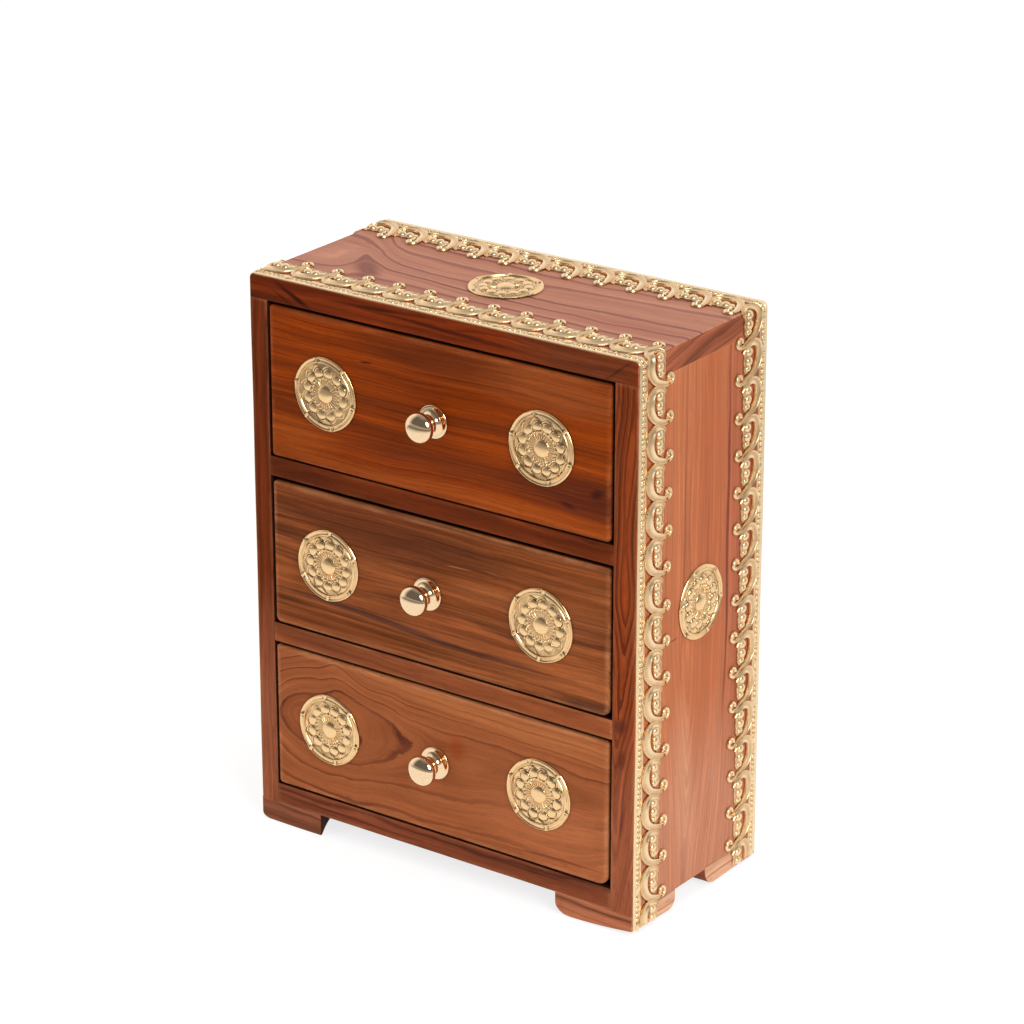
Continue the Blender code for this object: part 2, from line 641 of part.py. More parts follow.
def face_medallions():
    medallion("top_medallion", at(0, MIDDLE_Y, HEIGHT))
    medallion("left_side_medallion", at(LEFT_X, MIDDLE_Y, SIDE_MEDALLION_HEIGHT, TO_LEFT))
    medallion("right_side_medallion", at(RIGHT_X, MIDDLE_Y, SIDE_MEDALLION_HEIGHT, TO_RIGHT))


clear_scene()
PARTS = add_collection("chest_of_drawers")
CUTTERS = add_collection("chest_cutters")
TEAK = add_material("teak", (0.42, 0.17, 0.08), 0.42, 0.0)
DARK_TEAK = add_material("dark_teak", (0.24, 0.08, 0.035), 0.45, 0.0)
TEAK_FRONT = add_material("teak_front", (0.30, 0.10, 0.035), 0.38, 0.0)
PALE_WOOD = add_material("pale_wood", (0.48, 0.30, 0.16), 0.55, 0.0)
PLY = add_material("ply", (0.52, 0.36, 0.21), 0.60, 0.0)
STRIP_BRASS = add_material("strip_brass", (0.80, 0.58, 0.27), 0.34, 1.0)
MEDALLION_BRASS = add_material("medallion_brass", (0.86, 0.68, 0.38), 0.30, 1.0)
POLISHED_BRASS = add_material("polished_brass", (0.88, 0.70, 0.46), 0.12, 1.0)
STEEL = add_material("steel", (0.55, 0.54, 0.52), 0.40, 1.0)

carcass()
folded_strip("front_strip")
folded_strip("rear_strip", at_rear=True)
face_medallions()
for drawer_spec in DRAWERS:
    drawer(drawer_spec)
bpy.context.view_layer.update()
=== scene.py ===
import math
import random

import bmesh
import bpy
import numpy as np
from mathutils import Matrix, Vector, noise


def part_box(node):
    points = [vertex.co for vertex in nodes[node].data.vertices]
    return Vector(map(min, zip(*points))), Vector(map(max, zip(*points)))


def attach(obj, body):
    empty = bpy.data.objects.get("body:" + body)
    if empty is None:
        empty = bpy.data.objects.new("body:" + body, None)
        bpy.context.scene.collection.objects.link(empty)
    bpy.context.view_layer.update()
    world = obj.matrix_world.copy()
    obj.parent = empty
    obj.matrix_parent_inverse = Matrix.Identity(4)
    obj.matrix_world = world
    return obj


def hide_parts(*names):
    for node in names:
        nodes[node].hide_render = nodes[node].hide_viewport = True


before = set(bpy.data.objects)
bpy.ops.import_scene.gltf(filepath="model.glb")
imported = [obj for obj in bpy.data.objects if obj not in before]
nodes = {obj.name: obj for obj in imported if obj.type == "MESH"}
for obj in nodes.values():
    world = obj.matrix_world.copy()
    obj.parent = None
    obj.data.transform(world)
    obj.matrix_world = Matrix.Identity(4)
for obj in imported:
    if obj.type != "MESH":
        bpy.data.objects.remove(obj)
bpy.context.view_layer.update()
mm = 0.001
print("frame loaded,", len(nodes), "nodes")


# Node helpers, for shaders and for geometry alike
def put(tree, kind, inputs=None, **settings):
    made = tree.nodes.new(kind)
    for key, value in settings.items():
        setattr(made, key, value)
    for key, value in (inputs or {}).items():
        if isinstance(value, bpy.types.NodeSocket):
            tree.links.new(value, made.inputs[key])
        else:
            made.inputs[key].default_value = value
    return made


def calc(tree, operation, a, b=0.0, c=0.0):
    return put(tree, "ShaderNodeMath", {0: a, 1: b, 2: c}, operation=operation).outputs[0]


def ramp(tree, factor, stops):
    made = put(tree, "ShaderNodeValToRGB", {"Fac": factor})
    band = made.color_ramp
    band.elements.remove(band.elements[-1])
    band.elements[0].position, band.elements[0].color = stops[0]
    for place, colour in stops[1:]:
        band.elements.new(place).color = colour
    return made.outputs["Color"]


def remap(tree, value, low, high, toLow=0.0, toHigh=1.0):
    return put(tree, "ShaderNodeMapRange",
               {0: value, 1: low, 2: high, 3: toLow, 4: toHigh}, clamp=True).outputs[0]


def tint(tree, factor, a, b, how="MIX"):
    made = put(tree, "ShaderNodeMix", {0: factor, 6: a, 7: b}, data_type="RGBA", blend_type=how)
    return made.outputs[2]


def vector(tree, operation, a, b=(0, 0, 0)):
    return put(tree, "ShaderNodeVectorMath", {0: a, 1: b}, operation=operation).outputs[0]


def noiseAt(tree, place, stretch, detail=3.0, roughness=0.55, output="Fac", shift=(0, 0, 0)):
    mapped = put(tree, "ShaderNodeMapping", {"Vector": place, "Scale": stretch, "Location": shift})
    made = put(tree, "ShaderNodeTexNoise",
               {"Vector": mapped.outputs[0], "Scale": 1.0, "Detail": detail, "Roughness": roughness})
    return made.outputs[output]


def tone(red, green, blue):   # a colour as seen, 0 to 255, in linear light
    def part(v):
        v /= 255
        return v / 12.92 if v <= 0.04045 else ((v + 0.055) / 1.055) ** 2.4
    return (part(red), part(green), part(blue), 1.0)


def grey(value):
    return (value, value, value, 1.0)


def newFinish(name):
    made = bpy.data.materials.new(name)
    made.use_nodes = True
    return made, made.node_tree, made.node_tree.nodes["Principled BSDF"]


# Wood: growth rings round a heart line, long streaks, fibre and pores, under a thin satin finish
teak = {
    "along": 0, "across": 2, "depth": 1,   # which of X, Y, Z runs along, across and into the board
    "heart": (0.060, 0.030),               # where the log's middle lies from the board's centre
    "eye": (0.0, 0.0, 1.0),                # where the heart line meets the face, how far it dives, how soon
    "slope": 0.0,
    "ringGap": 0.0055, "ringStrength": 0.75, "vary": 0.55, "line": 0.88,
    "warp": 0.0022, "warpStretch": (16, 55, 55), "ripple": 0.0003,
    "pale": tone(176, 100, 52), "mid": tone(150, 80, 40), "late": tone(104, 50, 26),
    "streak": tone(86, 44, 26), "streaks": 0.55, "streakStretch": (3.0, 110, 110), "streakFrom": 0.52,
    "blush": tone(178, 104, 70), "blushStretch": (8, 26, 26), "blushes": 0.35,
    "marks": (),                           # along, across, half length, half width, degrees, colour, strength
    "worn": tone(196, 134, 92), "wear": 0.25,
    "figure": "", "jag": 0.25,             # growth stored on the mesh, and how ragged its lines are
    "fade": (1.0, 2.0, 1.0),               # between which rings the lines weaken, and to what share
    "joint": None,                         # between which depths it darkens with painted shade for the gaps round a drawer front, and clears again
    "band": 0.30, "fibre": 0.28,           # contrast of the lines that follow the growth, wide and fine
    "roughness": (0.42, 0.58), "shine": 0.05, "seed": 0.0,
}


def woodFinish(name, centre, **changes):
    look = {**teak, **changes}
    made, tree, shader = newFinish(name)
    place = put(tree, "ShaderNodeTexCoord").outputs["Object"]
    local = put(tree, "ShaderNodeMapping", {"Vector": place, "Location": [-c for c in centre]}).outputs[0]
    axis = put(tree, "ShaderNodeSeparateXYZ", {0: local}).outputs
    along, across, depth = axis[look["along"]], axis[look["across"]], axis[look["depth"]]
    across = calc(tree, "MULTIPLY_ADD", along, -look["slope"], across)
    grain = put(tree, "ShaderNodeCombineXYZ", {0: along, 1: across, 2: depth}).outputs[0]
    shift = (look["seed"] * 3.7, look["seed"] * 1.9, look["seed"] * 5.3)

    def bend(stretch, amount):   # a noise vector about zero, in metres
        wave = noiseAt(tree, grain, stretch, 2.0, 0.5, "Color", shift)
        reach = 2 * amount
        centred = vector(tree, "SUBTRACT", wave, (0.5, 0.5, 0.5))
        return vector(tree, "MULTIPLY", centred, (reach, reach, reach))

    sway = vector(tree, "ADD", bend(look["warpStretch"], look["warp"]), bend((90, 420, 420), look["ripple"]))
    swayed = vector(tree, "ADD", grain, sway)
    alongBent, acrossBent, depthBent = put(tree, "ShaderNodeSeparateXYZ", {0: swayed}).outputs
    if look["figure"]:
        stored = put(tree, "ShaderNodeAttribute", attribute_name=look["figure"]).outputs["Fac"]
        ragged = noiseAt(tree, grain, (130, 260, 260), 3.0, 0.6, "Fac", shift)
        years = calc(tree, "MULTIPLY_ADD", calc(tree, "SUBTRACT", ragged, 0.5), look["jag"], stored)
        layer = calc(tree, "MULTIPLY", stored, look["ringGap"])
    else:
        # rings about a heart line that may dive into the board
        eyeAt, dive, length = look["eye"]
        diving = calc(tree, "TANH", calc(tree, "DIVIDE", calc(tree, "SUBTRACT", alongBent, eyeAt), length))
        deep = calc(tree, "MULTIPLY_ADD", diving, dive, calc(tree, "SUBTRACT", depthBent, look["heart"][1]))
        aside = calc(tree, "SUBTRACT", acrossBent, look["heart"][0])
        flat = put(tree, "ShaderNodeCombineXYZ", {0: aside, 1: deep}).outputs[0]
        reach = put(tree, "ShaderNodeVectorMath", {0: flat}, operation="LENGTH").outputs["Value"]
        years = calc(tree, "MULTIPLY", reach, 1 / look["ringGap"])
        layer = reach
    flow = put(tree, "ShaderNodeCombineXYZ", {0: along, 1: layer, 2: depth}).outputs[0]
    each = put(tree, "ShaderNodeTexWhiteNoise", {"W": calc(tree, "FLOOR", years)},
               noise_dimensions="1D").outputs["Value"]
    rings = ramp(tree, calc(tree, "FRACT", years),
                 [(0.0, look["pale"]), (0.45, look["mid"]), (look["line"] - 0.07, look["mid"]),
                  (look["line"], look["late"]), (0.965, look["late"]), (1.0, look["pale"])])
    strength = remap(tree, each, 0.0, 1.0, look["ringStrength"] * (1 - look["vary"]), look["ringStrength"])
    fadeFrom, fadeTo, left = look["fade"]
    strength = calc(tree, "MULTIPLY", strength, remap(tree, years, fadeFrom, fadeTo, 1.0, left))
    colour = tint(tree, strength, look["mid"], rings)
    # broad warm patches, then long dark streaks
    cloud = noiseAt(tree, grain, look["blushStretch"], 2.0, 0.5, "Fac", shift)
    colour = tint(tree, remap(tree, cloud, 0.42, 0.70, 0.0, look["blushes"]), colour, look["blush"])
    streak = noiseAt(tree, flow, look["streakStretch"], 4.0, 0.6, "Fac", shift)
    dark = remap(tree, streak, look["streakFrom"], look["streakFrom"] + 0.16, 0.0, look["streaks"])
    colour = tint(tree, dark, colour, look["streak"])
    # marks of this one board
    loose = calc(tree, "MULTIPLY", calc(tree, "SUBTRACT", streak, 0.5), 1.1)
    for markAlong, markAcross, halfLong, halfWide, angle, markColour, markStrength in look["marks"]:
        mapped = put(tree, "ShaderNodeMapping", {"Vector": swayed, "Location": (markAlong, markAcross, 0),
                                                "Rotation": (0, 0, math.radians(angle)),
                                                "Scale": (halfLong, halfWide, 1e4)}, vector_type="TEXTURE")
        away = put(tree, "ShaderNodeVectorMath", {0: mapped.outputs[0]}, operation="LENGTH").outputs["Value"]
        cover = remap(tree, calc(tree, "ADD", away, loose), 0.35, 1.1, markStrength, 0.0)
        colour = tint(tree, cover, colour, markColour)
    # edges rubbed pale
    rubbed = calc(tree, "MULTIPLY", put(tree, "ShaderNodeAttribute", attribute_name="worn").outputs["Fac"],
                  remap(tree, noiseAt(tree, local, (60, 60, 60), 3.0, 0.6), 0.35, 0.65, 0.2, 1.0))
    colour = tint(tree, calc(tree, "MULTIPLY", rubbed, look["wear"]), colour, look["worn"])
    # fibre and open pores
    fibre = noiseAt(tree, flow, (18, 900, 900), 4.0, 0.65)
    band = noiseAt(tree, flow, (7, 330, 330), 3.0, 0.6, "Fac", shift)
    pores = remap(tree, noiseAt(tree, grain, (150, 2600, 2600), 1.0, 0.5), 0.60, 0.72)
    for lines, depthOf in ((band, look["band"]), (fibre, look["fibre"])):
        shades = ramp(tree, lines, [(0.33, grey(1 - 1.15 * depthOf)), (0.67, grey(1 + 0.85 * depthOf))])
        colour = tint(tree, 1.0, colour, shades, "MULTIPLY")
    colour = tint(tree, calc(tree, "MULTIPLY", pores, 0.42), colour, look["streak"])
    # painted shade in the gaps: darker between the first two depths, clearing again between the last two
    if look["joint"]:
        gapShade = calc(tree, "MULTIPLY", remap(tree, depth, *look["joint"][:2], 0.0, 0.85),
                     remap(tree, depth, *look["joint"][2:], 1.0, 0.25))
        colour = tint(tree, gapShade, colour, tone(30, 13, 7))
    tree.links.new(colour, shader.inputs["Base Color"])
    tree.links.new(remap(tree, fibre, 0.3, 0.7, *look["roughness"]), shader.inputs["Roughness"])
    planed = noiseAt(tree, local, (30, 30, 30), 1.0, 0.5)
    height = calc(tree, "SUBTRACT", calc(tree, "MULTIPLY", fibre, 0.6), calc(tree, "MULTIPLY", pores, 0.8))
    height = calc(tree, "MULTIPLY_ADD", planed, 2.0, height)
    bump = put(tree, "ShaderNodeBump", {"Height": height, "Strength": 0.22, "Distance": 0.00018})
    tree.links.new(bump.outputs[0], shader.inputs["Normal"])
    shader.inputs["Specular IOR Level"].default_value = look["shine"]
    return made


# Brass: pale gold on the crests, browner in the hollows, finely scuffed
def brassFinish(name, crest, hollow, roughness, hollowFrom=0.10, hollowTo=0.75, bumps=0.25):
    made, tree, shader = newFinish(name)
    place = put(tree, "ShaderNodeTexCoord").outputs["Object"]
    relief = put(tree, "ShaderNodeAttribute", attribute_name="relief").outputs["Fac"]
    cloud = noiseAt(tree, place, (170, 170, 170), 4.0, 0.6)
    speck = noiseAt(tree, place, (1500, 1500, 1500), 2.0, 0.6)
    worn = calc(tree, "MULTIPLY_ADD", calc(tree, "SUBTRACT", cloud, 0.5), 0.5, relief)
    colour = tint(tree, remap(tree, worn, hollowFrom, hollowTo), hollow, crest)
    colour = tint(tree, 1.0, colour, ramp(tree, speck, [(0.3, grey(0.90)), (0.7, grey(1.06))]), "MULTIPLY")
    tree.links.new(colour, shader.inputs["Base Color"])
    tree.links.new(remap(tree, cloud, 0.3, 0.7, *roughness), shader.inputs["Roughness"])
    shader.inputs["Metallic"].default_value = 1.0
    bump = put(tree, "ShaderNodeBump", {"Height": cloud, "Strength": bumps, "Distance": 0.0004})
    tree.links.new(bump.outputs[0], shader.inputs["Normal"])
    return made


def steelFinish(name):
    made, tree, shader = newFinish(name)
    place = put(tree, "ShaderNodeTexCoord").outputs["Object"]
    cloud = noiseAt(tree, place, (400, 400, 400), 4.0, 0.6)
    colour = ramp(tree, cloud, [(0.3, tone(120, 112, 104)), (0.7, tone(196, 192, 186))])
    tree.links.new(colour, shader.inputs["Base Color"])
    tree.links.new(remap(tree, cloud, 0.3, 0.7, 0.28, 0.5), shader.inputs["Roughness"])
    shader.inputs["Metallic"].default_value = 1.0
    return made


# Mesh helpers
def meshFrom(shape, name):   # faces outward, the shape itself is freed
    mesh = bpy.data.meshes.new(name)
    bmesh.ops.recalc_face_normals(shape, faces=shape.faces[:])
    shape.to_mesh(mesh)
    shape.free()
    return mesh


def addPiece(name, source, finish, body, slot, *stoodFor):   # source: a shape or a finished mesh
    mesh = meshFrom(source, name) if isinstance(source, bmesh.types.BMesh) else source
    mesh.name = name
    mesh.materials.clear()
    mesh.materials.append(finish)
    mesh.shade_smooth()
    mesh.set_sharp_from_angle(angle=math.radians(38))
    piece = bpy.data.objects.new(name, mesh)
    bpy.context.scene.collection.objects.link(piece)
    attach(piece, body)
    if stoodFor:
        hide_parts(*stoodFor)
    return piece


def addTemplate(name, shape):   # a shape that geometry nodes repeat; removed afterwards
    made = bpy.data.objects.new(name, meshFrom(shape, name))
    bpy.context.scene.collection.objects.link(made)
    return made


def newTree(name, sockets):   # a geometry node tree and its named inputs
    tree = bpy.data.node_groups.new(name, "GeometryNodeTree")
    face = tree.interface
    for way in ("INPUT", "OUTPUT"):
        face.new_socket("Geometry", in_out=way, socket_type="NodeSocketGeometry")
    for socket, kind in sockets:
        face.new_socket(socket, in_out="INPUT", socket_type="NodeSocket" + kind)
    return tree, put(tree, "NodeGroupInput").outputs


def runNodes(host, tree, inputs):   # the tree's result on host as a plain mesh; host is removed
    modifier = host.modifiers.new(tree.name, "NODES")
    modifier.node_group = tree
    for item in tree.interface.items_tree:
        if item.in_out == "INPUT" and item.name in inputs:
            modifier[item.identifier] = inputs[item.name]
    bpy.context.view_layer.update()
    depsgraph = bpy.context.evaluated_depsgraph_get()
    mesh = bpy.data.meshes.new_from_object(host.evaluated_get(depsgraph))
    host.modifiers.remove(modifier)
    bpy.data.objects.remove(host)
    return mesh


def boxShape(low, high):
    shape = bmesh.new()
    size = Vector(high) - Vector(low)
    middle = (Vector(high) + Vector(low)) / 2
    bmesh.ops.create_cube(shape, size=1.0, matrix=Matrix.Translation(middle) @ Matrix.Diagonal((*size, 1)))
    return shape


def cutAt(shape, axis, place):
    spot, normal = Vector((0, 0, 0)), Vector((0, 0, 0))
    spot[axis] = place
    normal[axis] = 1
    bmesh.ops.bisect_plane(shape, geom=shape.verts[:] + shape.edges[:] + shape.faces[:], plane_co=spot,
                           plane_no=normal)


def slices(shape, axis, step):   # extra cuts along a board, so that it can wander a little
    places = [v.co[axis] for v in shape.verts]
    low, high = min(places), max(places)
    count = max(2, int((high - low) / step))
    for i in range(1, count):
        cutAt(shape, axis, low + (high - low) * i / count)


def markWorn(shape, low, high, reach):   # 1 along the edges, 0 from reach on
    worn = shape.verts.layers.float.new("worn")
    for v in shape.verts:
        inside = sorted(min(v.co[i] - low[i], high[i] - v.co[i]) for i in range(3))
        v[worn] = max(0.0, min(1.0, 1.25 * (1 - inside[1] / reach)))


def wander(shape, size, amount):   # hand-planed unevenness
    for v in shape.verts:
        v.co += noise.noise_vector(v.co / size) * amount


def growthOver(piece, name, field):   # ring number at every vertex, from a field over millimetres
    values = piece.data.attributes.new(name, "FLOAT", "POINT")
    places = np.array([v.co for v in piece.data.vertices]) / mm
    for item, value in zip(values.data, field(places[:, 0], places[:, 1], places[:, 2])):
        item.value = value


def throughLines(lines):   # a smooth field that has the given value along each line of points
    points = np.array([p for value, line in lines for p in line], dtype=float)
    values = np.array([value for value, line in lines for p in line], dtype=float)

    def spread(a, b):
        r = np.maximum(np.linalg.norm(a[:, None, :] - b[None, :, :], axis=2), 1e-6)
        return r * r * np.log(r)

    n = len(points)
    flat = np.column_stack((np.ones(n), points))
    whole = np.zeros((n + 3, n + 3))
    whole[:n, :n] = spread(points, points) + 2.0 * np.eye(n)
    whole[:n, n:] = flat
    whole[n:, :n] = flat.T
    weights = np.linalg.solve(whole, np.append(values, (0, 0, 0)))
    return lambda u, w: (spread(np.column_stack((u, w)), points) @ weights[:n]
                         + np.column_stack((np.ones(len(u)), u, w)) @ weights[n:])


def facing(piece, direction, finish):   # faces turned this way get a finish of their own
    piece.data.materials.append(finish)
    last = len(piece.data.materials) - 1
    for face in piece.data.polygons:
        if face.normal.dot(Vector(direction)) > 0.7:
            face.material_index = last


def loft(shape, rows):   # quads between rows of the same length, both ends capped
    for a, b in zip(rows, rows[1:]):
        for i in range(len(a)):
            j = (i + 1) % len(a)
            shape.faces.new((a[i], a[j], b[j], b[i]))
    shape.faces.new(list(reversed(rows[0])))
    shape.faces.new(rows[-1])


def lathe(shape, profile, place, steps=64, relief=None):   # (radius, height) points about local Z
    rings = []
    for radius, height in profile:
        if radius < 1e-7:
            rings.append([shape.verts.new(place @ Vector((0, 0, height)))])
            continue
        turn = [2 * math.pi * i / steps for i in range(steps)]
        rings.append([shape.verts.new(place @ Vector((radius * math.cos(a), radius * math.sin(a), height)))
                      for a in turn])
    for a, b in zip(rings, rings[1:]):
        for i in range(steps):
            j = (i + 1) % steps
            corners = [a[i % len(a)], a[j % len(a)], b[j % len(b)], b[i % len(b)]]
            shape.faces.new(list(dict.fromkeys(corners)))
    if relief is not None:
        for ring in rings:
            for v in ring:
                v[relief] = 1.0


def arcPoints(centre, radius, start, end, steps, rise=None):
    rise = radius if rise is None else rise
    turns = [math.radians(start + (end - start) * i / steps) for i in range(steps + 1)]
    return [(centre[0] + radius * math.cos(a), centre[1] + rise * math.sin(a)) for a in turns]


toFront = Matrix.Rotation(math.pi / 2, 4, "X")
toRight = Matrix.Rotation(math.pi / 2, 4, "Y")
toLeft = Matrix.Rotation(-math.pi / 2, 4, "Y")


def onlyFinish(node, finish):
    nodes[node].data.materials.clear()
    nodes[node].data.materials.append(finish)


def boxMiddle(node):
    low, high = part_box(node)
    return (low + high) / 2


topLow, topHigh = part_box("top_board")
leftLow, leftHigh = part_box("left_side_panel")
rightLow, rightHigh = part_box("right_side_panel")
frontY, rearY = topLow.y, topHigh.y

# Carcass boards; the ends are let into their neighbours, so that the joints close
boards = {
    "ease": 0.6 * mm, "edgeRadius": 2.0 * mm, "unevenness": 0.10 * mm, "sliceStep": 12 * mm,
    "fineStep": 3 * mm, "joint": 0.3 * mm, "wornReach": 2.0 * mm,
}


def plank(node, finish, slot, axis, ends=(0, 0), ease=None, fine=()):
    ease = ease or boards["ease"]
    low, high = (corner.copy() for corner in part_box(node))
    low[axis] -= (boards["joint"] + ease) * ends[0]
    high[axis] += (boards["joint"] + ease) * ends[1]
    shape = boxShape(low, high)
    bmesh.ops.bevel(shape, geom=shape.edges[:], offset=ease, segments=3, profile=0.5, affect="EDGES")
    for i in range(3):
        for place in (low[i] + boards["wornReach"], high[i] - boards["wornReach"]):
            cutAt(shape, i, place)
    slices(shape, axis, boards["fineStep"] if fine else boards["sliceStep"])
    for other in fine:
        slices(shape, other, boards["fineStep"] / 2)
    markWorn(shape, low, high, boards["wornReach"])
    wander(shape, 0.03, boards["unevenness"])
    return addPiece(node + "_wood", shape, finish, "carcass", slot, node)


def topBoard(finish):
    r, ease = boards["edgeRadius"], boards["ease"]
    shape = bmesh.new()
    worn = shape.verts.layers.float.new("worn")

    def ringAt(y, inset, wear):   # the board's outline, drawn in a little at the eased front and rear edges
        left, right = topLow.x + inset, topHigh.x - inset
        low, high = topLow.z + inset, topHigh.z - inset
        outline = [(left, low), (right, low)]
        outline += arcPoints((right - r, high - r), r, 0, 90, 10)
        count = 16
        outline += [(right - r + (left + 2 * r - right) * i / count, high) for i in range(1, count)]
        outline += arcPoints((left + r, high - r), r, 90, 180, 10)
        ring = [shape.verts.new((x, y, z)) for x, z in outline]
        for v in ring:
            v[worn] = wear
        return ring

    reach, depth = boards["wornReach"], topHigh.y - topLow.y
    turns = [math.radians(turn) for turn in (0, 30, 60, 90)]
    half = [(0.0, reach, 0.0)] + [(ease * (1 - math.cos(a)), ease * (1 - math.sin(a)), 1.0) for a in turns]
    half += [(reach, 0.0, 0.0), (depth / 2, 0.0, 0.0)]
    rows = [ringAt(topLow.y + inFrom, inset, wear) for inFrom, inset, wear in half]
    rows += [ringAt(topHigh.y - inFrom, inset, wear) for inFrom, inset, wear in reversed(half[:-1])]
    loft(shape, rows)
    slices(shape, 0, boards["fineStep"])
    slices(shape, 1, boards["fineStep"])
    wander(shape, 0.03, boards["unevenness"])
    return addPiece("top_board_wood", shape, finish, "carcass", "teak", "top_board")


topLines = (   # the top's growth lines, swept aside by a knot at the left end: x and y along each
    (13.97, ((-72, 37), (-58, 34), (-40, 33.5), (3, 30.7), (32, 30.7), (60, 34), (99, 39))),
    (12.97, ((-84, 38), (-80, 34.5), (-76.3, 30.7), (-72.3, 27.3), (-66.3, 24.7), (-58.3, 23.3),
             (-47.7, 22.7), (-37, 21.6), (-26.3, 21.1), (-15.7, 21.1), (19, 21.1), (29.7, 22), (40.3, 22.9),
             (51, 24), (61.7, 25.1), (72.3, 26), (85.7, 27.3), (99, 28.7))),
    (11.97, ((-87, 27), (-82, 24), (-78.3, 21.1), (-74.3, 18.7), (-69, 14), (-63.7, 10.7), (-57, 7.7),
             (-47.7, 5.6), (-37, 4.3), (-26.3, 4), (-17, 4.3), (17.7, 2.9), (27, 2.7), (36.3, 2.9), (45.7, 4),
             (56.3, 5.1), (67, 5.3), (79, 5.6), (89.7, 6.4), (99, 6.7))),
    (11.45, ((-97, 14), (-88, 13), (-97, 2), (-88, 2), (-82, 7), (-82, -4), (-97, -7), (-88, -6))),
    (10.97, ((-99, -13.5), (-90, -13), (-80, -12), (-75, -9), (-73.5, -3), (-75, 4), (-76.5, 10), (-71, 7.5),
             (-66, 3.5), (-58, -0.5), (-45, -2.2), (-31.7, -3), (-18.3, -4.7), (20, -6), (45, -5.5), (60, -7),
             (75, -5), (99, -3))),
    (10.2, ((-66, -4), (-69, -10))),
    (9.97, ((-64, -15.5), (-57, -14), (-45, -14), (-20, -15), (20, -15), (60, -15.5), (99, -14))),
)
topWood = woodFinish(
    "top teak", (topLow + topHigh) / 2, across=1, depth=2, seed=1.0, figure="topGrowth", jag=0.10,
    ringGap=0.015, ringStrength=0.9, vary=0.35, line=0.84, band=0.10, fibre=0.16,
    pale=tone(188, 130, 106), mid=tone(174, 116, 93), late=tone(118, 70, 63), streak=tone(142, 90, 76),
    streaks=0.35, blush=tone(188, 130, 108),
    marks=((-0.0620, -0.0150, 0.015, 0.0060, -48, tone(116, 68, 60), 0.75),
           (-0.087, -0.003, 0.010, 0.016, 0, tone(196, 138, 112), 0.55),
           (-0.085, 0.017, 0.0022, 0.0030, 0, tone(150, 94, 78), 0.6),
           (0.065, -0.013, 0.04, 0.008, 2, tone(166, 104, 86), 0.5)))
edgeWood = woodFinish(
    "top edge teak", (topLow + topHigh) / 2, seed=1.5, ringGap=0.004, heart=(0.05, 0.03), ringStrength=0.6,
    pale=tone(136, 54, 14), mid=tone(120, 44, 9), late=tone(78, 26, 6), streak=tone(62, 20, 6),
    streakFrom=0.50, blush=tone(122, 48, 16), worn=tone(140, 74, 40), wear=0.12,
    marks=((-0.0755, -0.0008, 0.0135, 0.0014, -23, tone(46, 15, 7), 0.95),
           (0.005, -0.0005, 0.045, 0.0012, -2, tone(58, 18, 6), 0.8),
           (-0.035, 0.002, 0.03, 0.0010, 3, tone(60, 20, 7), 0.8),
           (-0.080, -0.003, 0.012, 0.0008, -23, tone(64, 24, 8), 0.7),
           (0.075, 0.0, 0.04, 0.009, 0, tone(112, 58, 32), 0.7),
           (0.090, 0.0, 0.012, 0.0007, 35, tone(70, 30, 14), 0.6)))
endWood = woodFinish(
    "top end grain", (topLow + topHigh) / 2, along=1, across=2, depth=0, seed=1.7, slope=0.18, ringGap=0.0026,
    heart=(0.05, 0.01), ringStrength=0.8, pale=tone(186, 112, 78), mid=tone(164, 92, 62),
    late=tone(110, 54, 40), streak=tone(104, 52, 38))
# Painted shade: near-black wood for faces that lie in shade inside the carcass, in the gaps round the drawers
# and at the feet's inner ends
shadedInsideWood = woodFinish(
    "inside teak in painted shade", (0, 0, 0.13), seed=9.5, pale=tone(58, 26, 12), mid=tone(48, 21, 10), late=tone(34, 14, 7),
    streak=tone(30, 13, 7), blush=tone(54, 26, 14), wear=0.0)
rightWood = woodFinish(
    "right side teak", (rightLow + rightHigh) / 2, along=2, across=1, depth=0, seed=2.0, figure="sideGrowth",
    jag=0.35, ringGap=0.0062, ringStrength=0.45, vary=0.8, band=0.09, fibre=0.16,
    pale=tone(200, 126, 84), mid=tone(185, 108, 69), late=tone(158, 88, 58), streak=tone(154, 86, 60),
    streaks=0.4, blush=tone(194, 120, 84), streakStretch=(2.2, 90, 90),
    marks=((0.05, 0.006, 0.13, 0.016, 0, tone(172, 92, 58), 0.6),
           (0.02, 0.037, 0.25, 0.020, 0, tone(160, 88, 66), 0.6),
           (0.03, 0.0205, 0.12, 0.0010, 0, tone(106, 50, 44), 0.8),
           (0.05, -0.013, 0.09, 0.0012, 1, tone(150, 82, 54), 0.6),
           (-0.075, -0.010, 0.05, 0.009, -7, tone(214, 152, 114), 0.6),
           (-0.10, 0.0, 0.06, 0.09, 0, tone(198, 142, 116), 0.5),
           (-0.001, -0.020, 0.0005, 0.0036, 0, tone(96, 44, 32), 0.8)))
rightStile = woodFinish(
    "right stile teak", (rightLow + rightHigh) / 2, along=2, across=0, depth=1, seed=2.5,
    figure="stileGrowth", jag=0.5, ringGap=0.0023, ringStrength=0.9, vary=0.4, line=0.66, band=0.15,
    fibre=0.22, pale=tone(160, 76, 34), mid=tone(140, 60, 22), late=tone(94, 37, 15), streak=tone(82, 34, 18),
    streaks=0.4, blush=tone(150, 74, 40),
    marks=((-0.10, 0.0, 0.07, 0.02, 0, tone(160, 94, 66), 0.6),
           (-0.031, -0.0016, 0.004, 0.0042, 0, tone(84, 36, 26), 0.75),
           (-0.046, 0.0002, 0.005, 0.0030, 0, tone(88, 38, 28), 0.6),
           (-0.075, 0.001, 0.009, 0.0012, 5, tone(92, 42, 30), 0.6)))
